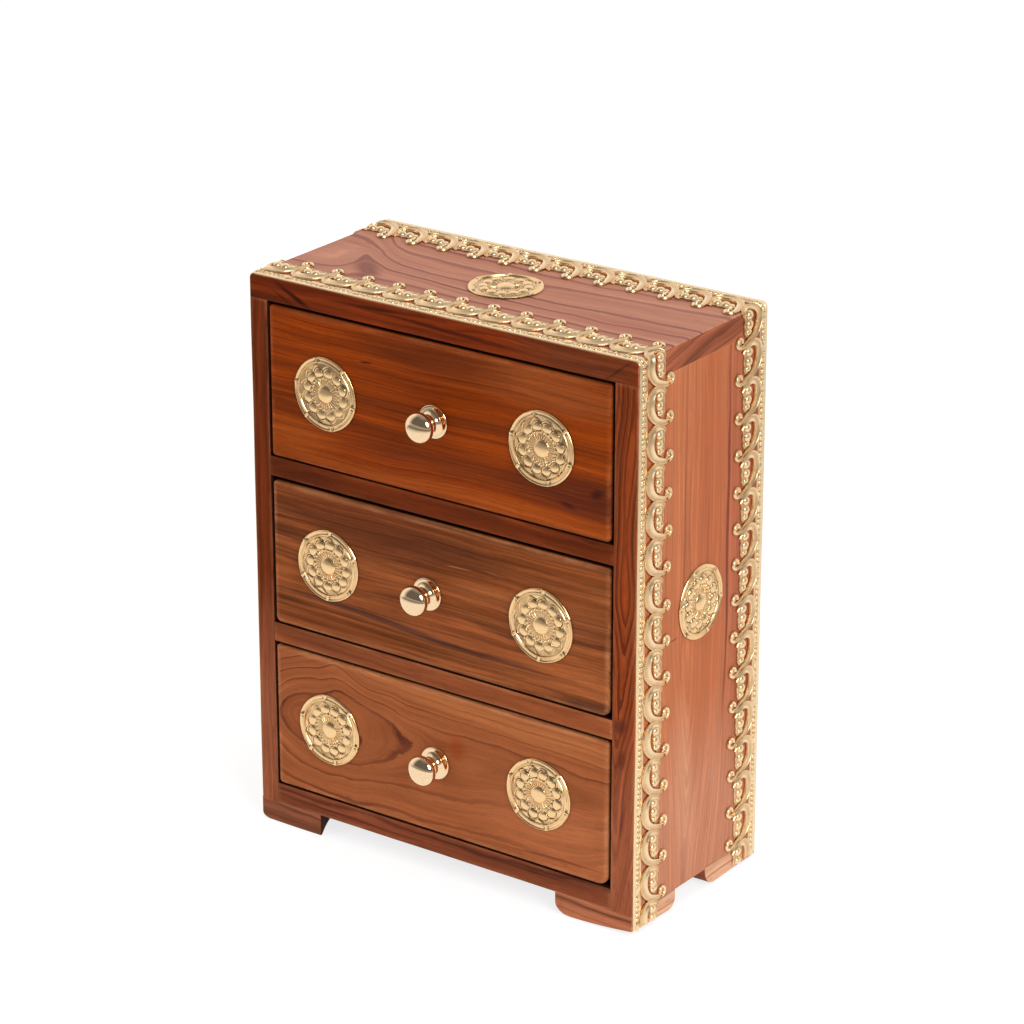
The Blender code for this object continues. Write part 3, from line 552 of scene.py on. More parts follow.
leftWood = woodFinish(
    "left side teak", (leftLow + leftHigh) / 2, along=2, across=1, depth=0, heart=(-0.10, 0.06), seed=3.0,
    ringGap=0.0070, band=0.11, fibre=0.20, ringStrength=0.6, pale=tone(196, 120, 78), mid=tone(182, 105, 66),
    late=tone(150, 82, 53), streak=tone(146, 80, 54), streaks=0.45, blush=tone(190, 118, 82),
    streakStretch=(2.2, 90, 90),
    marks=((-0.02, 0.012, 0.09, 0.0009, 1, tone(112, 54, 40), 0.6),
           (0.05, -0.028, 0.07, 0.010, -2, tone(206, 138, 98), 0.5)))
leftStile = woodFinish(
    "left stile teak", (leftLow + leftHigh) / 2, along=2, across=0, depth=1, seed=3.5, ringGap=0.0030,
    heart=(-0.05, 0.02), ringStrength=0.6, band=0.2, pale=tone(132, 58, 22), mid=tone(112, 44, 10),
    late=tone(78, 30, 10), streak=tone(72, 30, 16), blush=tone(126, 58, 26),
    marks=((-0.085, 0.0, 0.07, 0.02, 0, tone(168, 97, 65), 0.78),))


def stileGrowth(x, y, z):   # slanted lines above, pointed arches one under another below
    middle = 93.6 + 0.9 * np.sin(z / 17) + 0.035 * (z - 130)
    arches = 0.055 * np.maximum(0, 150 - z) + 0.25 * np.sin(z / 9)
    return 1.1 * np.sqrt(((x - middle) / 2.5) ** 2 + 0.12) + arches + 4


def sideGrowth(x, y, z):   # straight lines, with arches in the lower half a little before the middle
    middle = -2 + 1.5 * np.sin(z / 45)
    arches = 0.014 * np.maximum(0, 118 - z)
    return 6 + 1.0 * np.sqrt(((y - middle) / 6.2) ** 2 + 0.1) + arches + 0.15 * np.sin(z / 21 + y / 9)


topPiece = topBoard(topWood)
topField = throughLines(topLines)
growthOver(topPiece, "topGrowth", lambda x, y, z: topField(x, y))
facing(topPiece, (0, -1, 0), edgeWood)
facing(topPiece, (0, 1, 0), edgeWood)
facing(topPiece, (1, 0, 0), endWood)
facing(topPiece, (-1, 0, 0), endWood)
# the underside, inside the carcass, gets painted shade
facing(topPiece, (0, 0, -1), shadedInsideWood)
rightPiece = plank("right_side_panel", rightWood, "teak", 2, (1, 1), fine=(0, 1))
facing(rightPiece, (0, -1, 0), rightStile)
# the inner face gets painted shade
facing(rightPiece, (-1, 0, 0), shadedInsideWood)
growthOver(rightPiece, "stileGrowth", stileGrowth)
growthOver(rightPiece, "sideGrowth", sideGrowth)
leftPiece = plank("left_side_panel", leftWood, "teak", 2, (1, 1))
facing(leftPiece, (0, -1, 0), leftStile)
# the inner face gets painted shade
facing(leftPiece, (1, 0, 0), shadedInsideWood)
shelves = {
    "upper_divider": {"seed": 4.0, "pale": tone(126, 52, 16), "mid": tone(112, 44, 10),
                      "late": tone(82, 30, 8), "streak": tone(70, 30, 14), "blush": tone(112, 52, 24),
                      "worn": tone(150, 84, 50)},
    "lower_divider": {"seed": 5.0, "pale": tone(154, 84, 48), "mid": tone(142, 74, 40),
                      "late": tone(112, 54, 30), "streak": tone(104, 52, 32), "blush": tone(150, 82, 52)},
    "bottom_board": {"seed": 6.0, "pale": tone(142, 76, 48), "mid": tone(128, 64, 38),
                     "late": tone(86, 38, 24), "streak": tone(84, 38, 26), "blush": tone(138, 74, 48),
                     "ringGap": 0.0040, "band": 0.2,
                     "marks": ((-0.055, -0.0005, 0.05, 0.0009, -1, tone(88, 42, 28), 0.8),
                               (0.045, 0.0010, 0.04, 0.0007, 1, tone(96, 46, 32), 0.7))},
}
for node, look in shelves.items():
    finish = woodFinish(node.replace("_", " ") + " teak", boxMiddle(node), heart=(0.05, 0.09), **look)
    shelf = plank(node, finish, "dark_teak", 0, (1, 1), 0.4 * mm)
    # faces inside the carcass get painted shade
    facing(shelf, (0, 0, 1), shadedInsideWood)
    if node != "bottom_board":
        facing(shelf, (0, 0, -1), shadedInsideWood)
backWood = woodFinish(
    "back ply", boxMiddle("back_panel"), along=2, across=0, depth=1, heart=(0.02, 0.05), seed=8.0,
    ringGap=0.011, eye=(-0.05, 0.03, 0.06), ringStrength=0.5, band=0.10, fibre=0.15, pale=tone(214, 158, 112),
    mid=tone(202, 142, 96), late=tone(174, 112, 72), streak=tone(168, 110, 72), streaks=0.4,
    blush=tone(210, 150, 104), roughness=(0.55, 0.7))
plank("back_panel", backWood, "ply", 2, ease=0.4 * mm)
print("boards made")

# Feet: hand-shaped blocks, rounded up at their inner ends; lengths in millimetres
feet = {
    "cells": 30, "into": 0.8 * mm,
    # inner ends seen from the front and from the side, outer corner, its lift
    "front_left_foot": {"endX": (0.8, 0.8), "endY": (7.0, 6.5), "outerX": (4.5, 2.8), "outerY": (0.8, 0.8),
                        "lift": 0.3, "cove": (9.0, 6.0), "mid": tone(148, 86, 58)},
    "front_right_foot": {"endX": (8.5, 5.5), "endY": (6.0, 5.0), "outerX": (0.8, 0.8), "outerY": (0.8, 0.8),
                         "lift": 2.3, "mid": tone(168, 101, 70)},
    "rear_left_foot": {"endX": (5.0, 4.5), "endY": (6.0, 5.5), "outerX": (2.0, 1.5), "outerY": (0.8, 0.8),
                       "lift": 0.5, "mid": tone(140, 80, 52)},
    "rear_right_foot": {"endX": (16.0, 8.5), "endY": (9.0, 8.0), "outerX": (0.8, 0.8), "outerY": (0.8, 0.8),
                        "lift": 1.0, "mid": tone(148, 84, 56)},
}


def foot(node, seed):
    look = feet[node]
    low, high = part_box(node)
    onRight, atFront = low.x > 0, low.y < 0
    sizeX, sizeY = high.x - low.x, high.y - low.y

    def rounding(way, spec):   # how far the underside rises at this distance from an end
        length, height = spec[0] * mm, spec[1] * mm
        if way >= length:
            return 0.0
        return height * (1 - math.sqrt(max(0.0, 1 - (1 - way / length) ** 2)))

    def under(x, y):
        fromInnerX = x - low.x if onRight else high.x - x
        fromInnerY = high.y - y if atFront else y - low.y
        rises = (rounding(fromInnerX, look["endX"]), rounding(fromInnerY, look["endY"]),
                 rounding(sizeX - fromInnerX, look["outerX"]), rounding(sizeY - fromInnerY, look["outerY"]))
        lifted = look["lift"] * mm * (fromInnerX / sizeX) ** 2 * (0.35 + 0.65 * fromInnerY / sizeY)
        if "cove" in look and fromInnerX < look["cove"][0] * mm:
            inward = max(0.0, sizeY - fromInnerY - 1.0 * mm)
            lifted += 9.0 * mm * (1 - math.exp(-inward / (look["cove"][1] * mm)))
        return min(0.9 * high.z, math.sqrt(sum(r * r for r in rises)) + lifted)

    shape = bmesh.new()
    cells = feet["cells"]
    shares = [0.5 - 0.5 * math.cos(math.pi * i / cells) for i in range(cells + 1)]
    base = {}
    for i, u in enumerate(shares):
        for j, v in enumerate(shares):
            x, y = low.x + sizeX * u, low.y + sizeY * v
            base[i, j] = shape.verts.new((x, y, under(x, y)))
    for i in range(cells):
        for j in range(cells):
            shape.faces.new((base[i, j], base[i, j + 1], base[i + 1, j + 1], base[i + 1, j]))
    rim = [(i, 0) for i in range(cells)] + [(cells, j) for j in range(cells)]
    rim += [(i, cells) for i in range(cells, 0, -1)] + [(0, j) for j in range(cells, 0, -1)]
    top = [shape.verts.new((base[key].co.x, base[key].co.y, high.z + feet["into"])) for key in rim]
    for k, key in enumerate(rim):
        other = (k + 1) % len(rim)
        shape.faces.new((base[key], base[rim[other]], top[other], top[k]))
    shape.faces.new(top)
    wander(shape, 0.02, 0.12 * mm)
    for v in shape.verts:
        v.co.z = max(v.co.z, 0.0)
    r, g, b = look["mid"][:3]
    finish = woodFinish(node.replace("_", " ") + " teak", boxMiddle(node), heart=(0.03, 0.04), seed=seed,
                        ringGap=0.0035, mid=look["mid"], pale=(1.3 * r, 1.35 * g, 1.4 * b, 1),
                        late=(0.55 * r, 0.5 * g, 0.5 * b, 1), streak=(0.5 * r, 0.46 * g, 0.5 * b, 1),
                        blush=(1.15 * r, 1.2 * g, 1.3 * b, 1))
    side = woodFinish(node.replace("_", " ") + " side", boxMiddle(node), along=1, across=2, depth=0,
                      heart=(0.03, 0.04), seed=seed + 0.5, ringGap=0.004, band=0.16, fibre=0.2,
                      mid=tone(222, 169, 134), pale=tone(232, 183, 149), late=tone(160, 92, 62),
                      streak=tone(150, 86, 60), blush=tone(206, 146, 112))
    piece = addPiece(node + "_wood", shape, finish, "carcass", "dark_teak", node)
    facing(piece, (1 if onRight else -1, 0, 0), side)
    # the inner end, under the carcass, gets painted shade
    facing(piece, (-1 if onRight else 1, 0, 0), shadedInsideWood)


for i, node in enumerate(("front_left_foot", "front_right_foot", "rear_left_foot", "rear_right_foot")):
    foot(node, 11.0 + i)
print("feet made")

# Drawers: rounded fronts, plain boxes behind them
fronts = {
    "rounding": 1.3 * mm, "wornReach": 2.6 * mm, "cell": 3.0 * mm,
    # depths of the painted gap shade on the fronts' edges
    "joint": (-0.0039, -0.0024, -0.0014, 0.0006), "wear": 0.4,
    # corner radii from lower left round to upper left; how much is planed off left, right, below and above
    "top": {"corners": (1.6, 2.2, 1.4, 1.2), "planed": (-0.6, 0.5, 0.0, 0.1)},
    "middle": {"corners": (2.7, 4.0, 1.6, 1.6), "planed": (-0.6, 0.3, 0.1, 0.6)},
    "bottom": {"corners": (2.0, 5.0, 1.6, 1.2), "planed": (-0.8, 0.2, 0.1, 0.0)},
    # the bottom drawer's growth lines: x and z along each ring
    "rings": (
        (0.35, ((-62, 57), (-45, 56))),
        (0.78, ((-30, 62), (-24.5, 59), (-27, 54))),
        (1.25, ((-12, 64), (-8, 58), (-12, 51))),
        (0.97, ((-89.4, 55.9), (-85.4, 62.4), (-74.9, 68.3), (-64.3, 70.3), (-56.4, 74.2), (-49.8, 72.9),
                (-40.6, 70.3), (-31.4, 68.3), (-24.8, 65.7), (-20.8, 61.8), (-15.5, 58.2), (-20, 53.8),
                (-26.1, 49.4), (-31.4, 45.5), (-44.5, 40.3), (-60.4, 38.3), (-77.5, 44.2), (-82.8, 46.8),
                (-88.7, 53.3))),
        (1.97, ((-88.1, 38.9), (-80.2, 34.4), (-68.3, 31.8), (-56.4, 32.4), (-40.6, 34.4), (-26.1, 36.4),
                (-7.6, 37), (9.5, 38.3), (22.7, 40.9), (35.9, 42.9), (70, 44), (87, 46))),
        (1.97, ((-89.4, 67), (-82.8, 72.2), (-70.9, 76.1), (-56.4, 79.4), (-47.2, 76.8), (-36.6, 74.2),
                (-20.8, 70.9), (-5, 69.6), (13.5, 70.2), (32, 70.5), (58.4, 70.3), (87.4, 68.3))),
        (2.97, ((-89.4, 25.9), (-73.6, 23.3), (-47.2, 21.4), (-20.8, 24), (5.6, 24.6), (32, 25.9),
                (58.4, 24.6), (78.2, 26.6), (86.7, 31.1))),
        (2.97, ((-89.4, 74.2), (-77.5, 79.4), (-65.6, 82), (-56.4, 85.9), (-48.5, 82), (-40.6, 79),
                (-26, 78.5), (0, 76.5), (30, 76), (60, 75.5), (87, 74.5))),
        (3.97, ((-89.4, 80), (-78, 84.5), (-70, 88), (-45, 86.5), (-20, 83), (10, 81.5), (45, 81),
                (87, 80.5)))),
    "looks": {
        "top": {
            "heart": (-0.10, 0.05), "ringGap": 0.0031, "ringStrength": 0.75, "vary": 0.95, "seed": 21.0,
            "warp": 0.0036, "streaks": 0.55, "band": 0.2, "fibre": 0.24,
            "warpStretch": (9, 25, 25), "pale": tone(160, 70, 14), "mid": tone(138, 54, 3),
            "late": tone(88, 32, 3), "streak": tone(82, 32, 8), "blush": tone(150, 66, 16),
            "streakStretch": (4.0, 150, 150), "streakFrom": 0.50,
            "worn": tone(168, 96, 56),
            "marks": ((0.077, -0.018, 0.045, 0.012, 0, tone(84, 34, 20), 0.8),
                      (0.0197, -0.0197, 0.09, 0.008, 0, tone(100, 42, 16), 0.6),
                      (0.0, -0.031, 0.12, 0.0045, 0, tone(150, 72, 26), 0.6),
                      (-0.075, -0.022, 0.025, 0.010, 0, tone(152, 72, 22), 0.6),
                      (0.056, 0.026, 0.05, 0.012, 0, tone(146, 76, 36), 0.65),
                      (-0.002, 0.027, 0.045, 0.009, 0, tone(96, 40, 12), 0.75),
                      (0.082, -0.015, 0.004, 0.0022, 20, tone(54, 20, 14), 0.8),
                      (0.068, -0.023, 0.005, 0.0016, -10, tone(58, 22, 14), 0.7),
                      (-0.0377, 0.0187, 0.0042, 0.0005, 4, tone(46, 16, 8), 1.0))},
        "middle": {
            "heart": (0.14, 0.06), "ringGap": 0.0035, "ringStrength": 0.5, "seed": 22.0, "streaks": 0.9,
            "streakFrom": 0.50, "streakStretch": (5.0, 170, 170), "blushes": 0.9,
            "blushStretch": (7, 130, 130), "pale": tone(150, 84, 44), "mid": tone(126, 64, 28),
            "late": tone(90, 42, 18), "streak": tone(76, 38, 20), "blush": tone(164, 92, 50),
            "marks": ((-0.015, 0.020, 0.05, 0.014, 0, tone(92, 46, 26), 0.65),
                      (-0.06, 0.024, 0.06, 0.011, 0, tone(98, 44, 18), 0.6),
                      (0.0, -0.014, 0.12, 0.007, -1, tone(150, 80, 42), 0.5),
                      (0.070, -0.020, 0.04, 0.008, 0, tone(172, 96, 52), 0.75),
                      (0.072, 0.004, 0.025, 0.012, 0, tone(146, 82, 46), 0.5),
                      (-0.025, -0.0190, 0.08, 0.0017, -2.5, tone(80, 46, 36), 0.9),
                      (0.038, -0.0096, 0.022, 0.0010, -2, tone(86, 50, 36), 0.6),
                      (0.077, -0.0307, 0.02, 0.0025, 0, tone(84, 48, 36), 0.7),
                      (-0.086, -0.009, 0.010, 0.014, 0, tone(160, 86, 44), 0.5),
                      (0.012, 0.0150, 0.007, 0.0003, 3, tone(176, 120, 84), 0.5),
                      (0.030, 0.0165, 0.006, 0.0003, -4, tone(172, 118, 82), 0.5))},
        "bottom": {
            "figure": "frontGrowth", "jag": 0.20, "vary": 0.2, "ringStrength": 1.0, "line": 0.89,
            "ringGap": 0.0085, "band": 0.10, "fibre": 0.16, "fade": (1.0, 2.0, 0.55), "seed": 23.0,
            "streaks": 0.35, "pale": tone(172, 100, 57), "mid": tone(152, 83, 46), "late": tone(62, 22, 20),
            "streak": tone(116, 56, 30), "blush": tone(172, 98, 58), "worn": tone(204, 140, 96),
            "blushStretch": (5, 70, 70), "blushes": 0.6,
            "marks": ((0.033, 0.0277, 0.10, 0.008, -2, tone(186, 112, 64), 0.55),
                      (0.062, -0.016, 0.045, 0.020, 0, tone(180, 106, 66), 0.6),
                      (-0.043, -0.0003, 0.0015, 0.0022, 0, tone(80, 34, 26), 0.8),
                      (0.010, 0.010, 0.005, 0.006, 0, tone(150, 64, 22), 0.6),
                      (0.060, -0.0285, 0.035, 0.0006, 2, tone(112, 52, 36), 0.7))},
    },
}


def drawerFront(name):
    node = name + "_drawer_front"
    low, high = (corner.copy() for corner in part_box(node))
    finish = woodFinish(name + " drawer teak", (low + high) / 2, joint=fronts["joint"], wear=fronts["wear"],
                        **fronts["looks"][name])
    left, right, below, above = (amount * mm for amount in fronts[name]["planed"])
    low.x, high.x, low.z, high.z = low.x + left, high.x - right, low.z + below, high.z - above
    radii = [r * mm for r in fronts[name]["corners"]]
    shape = bmesh.new()
    worn = shape.verts.layers.float.new("worn")

    def ringAt(y, inset, wear):
        points = []
        places = ((low.x, low.z, 1, 1, 180), (high.x, low.z, -1, 1, 270), (high.x, high.z, -1, -1, 0),
                  (low.x, high.z, 1, -1, 90))
        for (x, z, toX, toZ, start), radius in zip(places, radii):
            r = max(radius - inset, 0.3 * mm)
            middle = (x + toX * (inset + r), z + toZ * (inset + r))
            points += arcPoints(middle, r, start, start + 90, 8)
        ring = [shape.verts.new((x, y, z)) for x, z in points]
        for v in ring:
            v[worn] = wear
        return ring

    r = fronts["rounding"]
    rows = [ringAt(low.y, fronts["wornReach"], 0.0)]
    for turn in range(0, 91, 15):
        a = math.radians(turn)
        rows.append(ringAt(low.y + r * (1 - math.cos(a)), r * (1 - math.sin(a)),
                           0.55 + 0.45 * math.cos(a - 0.6)))
    rows += [ringAt(low.y + 2 * r, 0.0, 0.0), ringAt(high.y, 0.0, 0.0)]
    loft(shape, rows)
    if name == "bottom":
        slices(shape, 0, fronts["cell"])
        slices(shape, 2, fronts["cell"])
    piece = addPiece(node + "_wood", shape, finish, name + "_drawer", "teak_front", node)
    if name == "bottom":
        field = throughLines(fronts["rings"])
        growthOver(piece, "frontGrowth", lambda x, y, z: field(x, z))
    return piece


for name in ("top", "middle", "bottom"):
    drawerFront(name)
    for i, part in enumerate(("left_side", "right_side", "back")):
        node = f"{name}_drawer_{part}"
        across = {"depth": 0, "along": 1} if "side" in part else {"depth": 1, "along": 0}
        boxWood = woodFinish(node.replace("_", " ") + " wood", boxMiddle(node), across=2, seed=31.0 + i,
                             **across, heart=(0.05, 0.05), ringStrength=0.5, band=0.11, fibre=0.16,
                             streaks=0.4, pale=tone(216, 158, 108), mid=tone(202, 141, 92),
                             late=tone(174, 111, 68), streak=tone(162, 106, 66), blush=tone(204, 148, 102),
                             roughness=(0.55, 0.72))
        onlyFinish(node, boxWood)
    node = name + "_drawer_bottom"
    baseWood = woodFinish(name + " drawer ply", boxMiddle(node), along=0, across=1, depth=2, seed=41.0,
                          heart=(0.03, 0.05), ringStrength=0.45, band=0.10, fibre=0.15, streaks=0.35,
                          pale=tone(216, 170, 122), mid=tone(204, 155, 108), late=tone(180, 126, 82),
                          streak=tone(172, 118, 76), blush=tone(208, 160, 114), roughness=(0.6, 0.75))
    onlyFinish(node, baseWood)
print("drawers made")

# Knobs: a flattened ball on a flared stem, polished
knobs = {"ball": 13.8 * mm, "ballThickness": 8.2 * mm, "neck": 6.0 * mm, "rim": 1.1 * mm, "step": 1.3 * mm,
         "flare": 3.4 * mm}
polished = brassFinish("polished brass", tone(250, 217, 175), tone(239, 200, 152), (0.04, 0.10), bumps=0.02)
steel = steelFinish("plain steel")


def knob(name):
    node = name + "_knob"
    low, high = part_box(node)
    middle = (low + high) / 2
    base = (high.x - low.x) / 2
    neck, ball, half = knobs["neck"] / 2, knobs["ball"] / 2, knobs["ballThickness"] / 2
    tip = high.y - low.y
    meet = math.degrees(math.acos(neck / ball))
    profile = [(0.0, tip)] + arcPoints((0, tip - half), ball, 90, -meet, 28, half)[1:]
    shoulder = base - knobs["step"]
    profile += arcPoints((shoulder, knobs["rim"] + knobs["flare"]), shoulder - neck, 180, 264, 14,
                         knobs["flare"])
    profile += [(shoulder + 0.1 * mm, knobs["rim"] + 0.02 * mm)]
    profile += arcPoints((base - 0.5 * mm, knobs["rim"] - 0.5 * mm), 0.5 * mm, 85, -40, 6)
    profile += [(base - 0.4 * mm, 0.0), (0.0, 0.0)]
    shape = bmesh.new()
    relief = shape.verts.layers.float.new("relief")
    lathe(shape, profile, Matrix.Translation((middle.x, high.y, middle.z)) @ toFront, 72, relief)
    return addPiece(node + "_brass", shape, polished, name + "_drawer", "polished_brass", node)


for name in ("top", "middle", "bottom"):
    knob(name)
for node in nodes:
    if node.endswith(("nail", "screw")):
        onlyFinish(node, steel)
print("knobs made")

# Medallions: a pressed disc with a tied ribbon rim, a wreath of buds, beads, ribs and a boss; in millimetres
medallion = {
    "radius": 16.45, "bulge": -0.15, "petals": 12, "beads": 24, "ribs": 28, "rings": 70, "turns": 300,
    "sheet": 0.40, "ties": (0.02, 0.98, 2.10, 3.16, 4.10, 5.22),
    "rim": ((0.0, 0.05), (0.08, 0.55), (0.30, 0.82), (0.60, 0.80), (0.85, 0.52), (1.50, 0.48), (2.05, 0.56),
            (2.30, 1.02), (2.60, 1.02), (2.80, 0.50), (3.05, 0.22), (3.35, 0.40)),
}
medallionBrass = brassFinish("pressed brass", tone(255, 213, 157), tone(74, 36, 9), (0.22, 0.34), 0.08, 0.48)


def near(value, centre, width):
    return np.exp(-((value - centre) / width) ** 2)


def turnedFrom(turn, places):   # smallest angle to any of these places
    return np.min([np.abs((turn - place + math.pi) % math.tau - math.pi) for place in places], axis=0)


def medallionHeight(r, turn, edge):
    spec = medallion
    e = edge - r
    steps = np.array(spec["rim"])
    field = spec["sheet"]
    h = np.where(e < 3.0, np.interp(e, steps[:, 0], steps[:, 1]), field)
    # rim ties: short straps laid over both ridges
    tie = turnedFrom(turn, spec["ties"]) * r
    strap = np.clip(1 - (tie / 0.8) ** 4, 0, 1) * np.clip((2.9 - e) / 0.4, 0, 1) * np.clip(e / 0.2, 0, 1)
    h = np.maximum(h, field + (0.62 - 0.2 * near(tie, 0.35, 0.14)) * strap)
    # a wreath of round buds inside a crown of pointed arches
    share = math.tau / spec["petals"]
    aside = np.abs((turn + share / 2) % share - share / 2)
    h += 0.75 * np.sqrt(np.clip(1 - ((r - 9.75) / 2.0) ** 2 - (aside * r / 2.5) ** 2, 0, 1)) ** 0.9
    crown = 13.0 - 1.9 * (aside / share * 2) ** 1.2
    h += 0.36 * near(r, crown, 0.24) - 0.22 * near(r, crown - 0.52, 0.22) - 0.14 * near(r, crown + 0.48, 0.20)
    gap = np.abs(turn % share - share / 2) * r
    h -= 0.22 * near(gap, 0, 0.30) * np.clip((r - 8.0) / 0.3, 0, 1) * np.clip((11.0 - r) / 0.3, 0, 1)
    # ring of beads, radial ribs and the boss
    share = math.tau / spec["beads"]
    bead = ((turn + 0.04) % share - share / 2) * 7.15
    h -= 0.26 * near(r, 7.1, 0.55)
    h = np.maximum(h, field + 0.5 * np.sqrt(np.clip(1 - ((r - 7.1) ** 2 + bead ** 2) / 0.70 ** 2, 0, 1)))
    rib = np.clip((np.abs(np.cos(turn * spec["ribs"] / 2)) - 0.60) / 0.30, 0, 1)
    h += (0.70 * rib - 0.46) * np.clip((r - 4.0) / 0.35, 0, 1) * np.clip((6.5 - r) / 0.5, 0, 1)
    h += 1.15 * np.sqrt(np.clip(1 - (r / 3.95) ** 2, 0, 1)) ** 1.2
    return h


def makeMedallion(node, body, place, seed):
    spec = medallion
    draw = random.Random(seed)
    spin, squash, lean = draw.uniform(0, math.tau), draw.uniform(0, 6), draw.uniform(0, 6)
    rings, turns = spec["rings"], spec["turns"]
    shape = bmesh.new()
    relief = shape.verts.layers.float.new("relief")
    turn = np.linspace(0, math.tau, turns, endpoint=False)
    fromTie = np.clip(turnedFrom(turn, spec["ties"]) / 0.5, 0, 1)
    bulged = spec["bulge"] * np.sin(fromTie * math.pi / 2) ** 1.5
    edge = spec["radius"] + bulged + 0.12 * near(fromTie, 0, 0.13)
    edge = edge * (1 + 0.010 * np.sin(2 * turn + squash))
    hub = shape.verts.new((0, 0, (spec["sheet"] + 1.15) * mm))
    hub[relief] = 1.0
    reach = np.array([edge * (i / rings) for i in range(1, rings + 1)])
    heights = np.array([medallionHeight(r, turn + 0.03 * np.sin(turn + lean), edge) for r in reach])
    around = np.mean([np.roll(heights, k, axis=1) for k in range(-3, 4)], axis=0)
    inOut = np.mean([heights[np.clip(np.arange(rings) + k, 0, rings - 1)] for k in range(-3, 4)], axis=0)
    hollows = np.clip(0.62 + 4.0 * (heights - 0.5 * (around + inOut)), 0, 1)
    hollows = np.minimum(hollows, np.clip((heights - 0.04) / 0.45, 0, 1))
    rows = []
    for r, h, crest in zip(reach, heights, hollows):
        row = []
        for j in range(turns):
            a = turn[j] + spin
            v = shape.verts.new((r[j] * math.cos(a) * mm, r[j] * math.sin(a) * mm, h[j] * mm))
            v[relief] = crest[j]
            row.append(v)
        rows.append(row)
    for j in range(turns):
        shape.faces.new((hub, rows[0][j], rows[0][(j + 1) % turns]))
    for a, b in zip(rows, rows[1:]):
        for j in range(turns):
            k = (j + 1) % turns
            shape.faces.new((a[j], b[j], b[k], a[k]))
    shape.faces.new(list(reversed(rows[-1])))
    for v in shape.verts:
        v.co.z += noise.noise(v.co / (9 * mm) + Vector((seed, 0, 0))) * 0.14 * mm
        v.co.z = max(v.co.z, 0.0) + 0.12 * mm
        v.co = place @ v.co
    return addPiece(node + "_brass", shape, medallionBrass, body, "medallion_brass", node)


for i, name in enumerate(("top", "middle", "bottom")):
    for k, side in enumerate(("left", "right")):
        node = f"{name}_drawer_{side}_medallion"
        spot = boxMiddle(node)
        place = Matrix.Translation((spot.x, frontY, spot.z)) @ toFront
        makeMedallion(node, name + "_drawer", place, 2 * i + k + 1)
spot = boxMiddle("top_medallion")
makeMedallion("top_medallion", "carcass", Matrix.Translation((spot.x, spot.y, topHigh.z)), 7)
spot = boxMiddle("right_side_medallion")
place = Matrix.Translation((rightHigh.x, spot.y, spot.z)) @ toRight
makeMedallion("right_side_medallion", "carcass", place, 8)
spot = boxMiddle("left_side_medallion")
place = Matrix.Translation((leftLow.x, spot.y, spot.z)) @ toLeft
makeMedallion("left_side_medallion", "carcass", place, 9)
print("medallions made")

# Scroll strips: flat along s, in from the border along t, out of the wood along n; shapes in millimetres
strip = {
    "pitch": 16.47 * mm, "lastCurl": 11.0 * mm, "beadPitch": 2.5 * mm, "beadRow": 2.95 * mm,
    "tackPitch": 18.1 * mm, "tackRow": 3.1 * mm,
    "edgeInset": 0.5 * mm, "endHeight": 2.8 * mm, "gap": 0.3 * mm, "under": -0.22 * mm, "sway": 0.6 * mm,
    # s, t, half width and height along each band; s = 0 is the middle of the curl
    "ring": ((-10.8, 18.7, 0.5, 0.65), (-12.5, 17.4, 0.9, 0.95), (-13.6, 15.0, 1.2, 1.15),
             (-14.3, 12.5, 1.4, 1.32), (-14.0, 10.0, 1.8, 1.44), (-12.5, 8.0, 2.15, 1.52),
             (-10.2, 7.0, 2.3, 1.56), (-7.4, 6.9, 2.3, 1.56), (-4.8, 7.7, 2.2, 1.52), (-2.4, 9.4, 1.95, 1.44),
             (-0.6, 11.8, 1.65, 1.34), (0.5, 14.4, 1.5, 1.26), (1.4, 17.0, 1.40, 1.20),
             (2.0, 19.2, 1.15, 1.14), (2.1, 20.9, 0.95, 1.08)),
    "lobe": (0.0, 21.2), "lobeRadius": (2.1, 1.85), "lobeTurn": (-4, 280),
    "lobeBand": ((0.90, 1.08), (0.65, 0.94)), "plate": (-12.6, -2.2, 14.9, 2.9, 0.36),
    "rim": (17.4, 0.42, 0.52),
    # half length, half width, foot, rise, steps round and rows up
    "dish": (2.0, 2.0, 0.03, 0.05, 16, 2), "eye": (0.55, 0.55, 0.05, 0.35, 10, 3),
    "bead": (1.14, 1.45, 0.0, 0.74, 8, 3), "tack": (2.1, 1.5, 0.3, 0.45, 12, 3),
    # border lip and rail: across, up, how bright
    "rail": ((0.0, -0.22, 0.2), (0.0, 0.02, 0.6), (0.15, 0.16, 0.9), (0.5, 0.20, 0.9), (1.35, 0.16, 0.8),
             (1.75, 0.20, 0.9), (1.95, 0.02, 0.2), (4.45, 0.02, 0.2), (4.62, 0.20, 0.85), (4.95, 0.20, 0.85),
             (5.15, 0.02, 0.3), (5.9, 0.0, 0.25), (5.9, -0.22, 0.1)),
    "bigBeads": ((-10.6, 14.1, 1.9, 2.2, 1.25), (-6.5, 14.1, 2.0, 2.2, 1.25), (-3.3, 14.5, 1.3, 1.9, 0.80)),
}
stripBrass = brassFinish("embossed brass", tone(255, 224, 177), tone(188, 131, 76), (0.27, 0.42), 0.04, 0.58)
ringSection = ((-1, 0), (-1, 0.46), (-0.94, 0.66), (-0.86, 0.50), (-0.55, 0.36), (-0.10, 0.36), (0.30, 0.48),
               (0.58, 0.72), (0.74, 0.86), (0.87, 0.84), (0.95, 0.55), (1, 0))
ridgeSection = ((-1, 0), (-0.92, 0.62), (-0.5, 0.95), (0, 1.0), (0.5, 0.95), (0.92, 0.62), (1, 0))
plateSection = ((-1, 0), (-0.94, 0.8), (-0.6, 0.98), (0.6, 0.98), (0.94, 0.8), (1, 0))


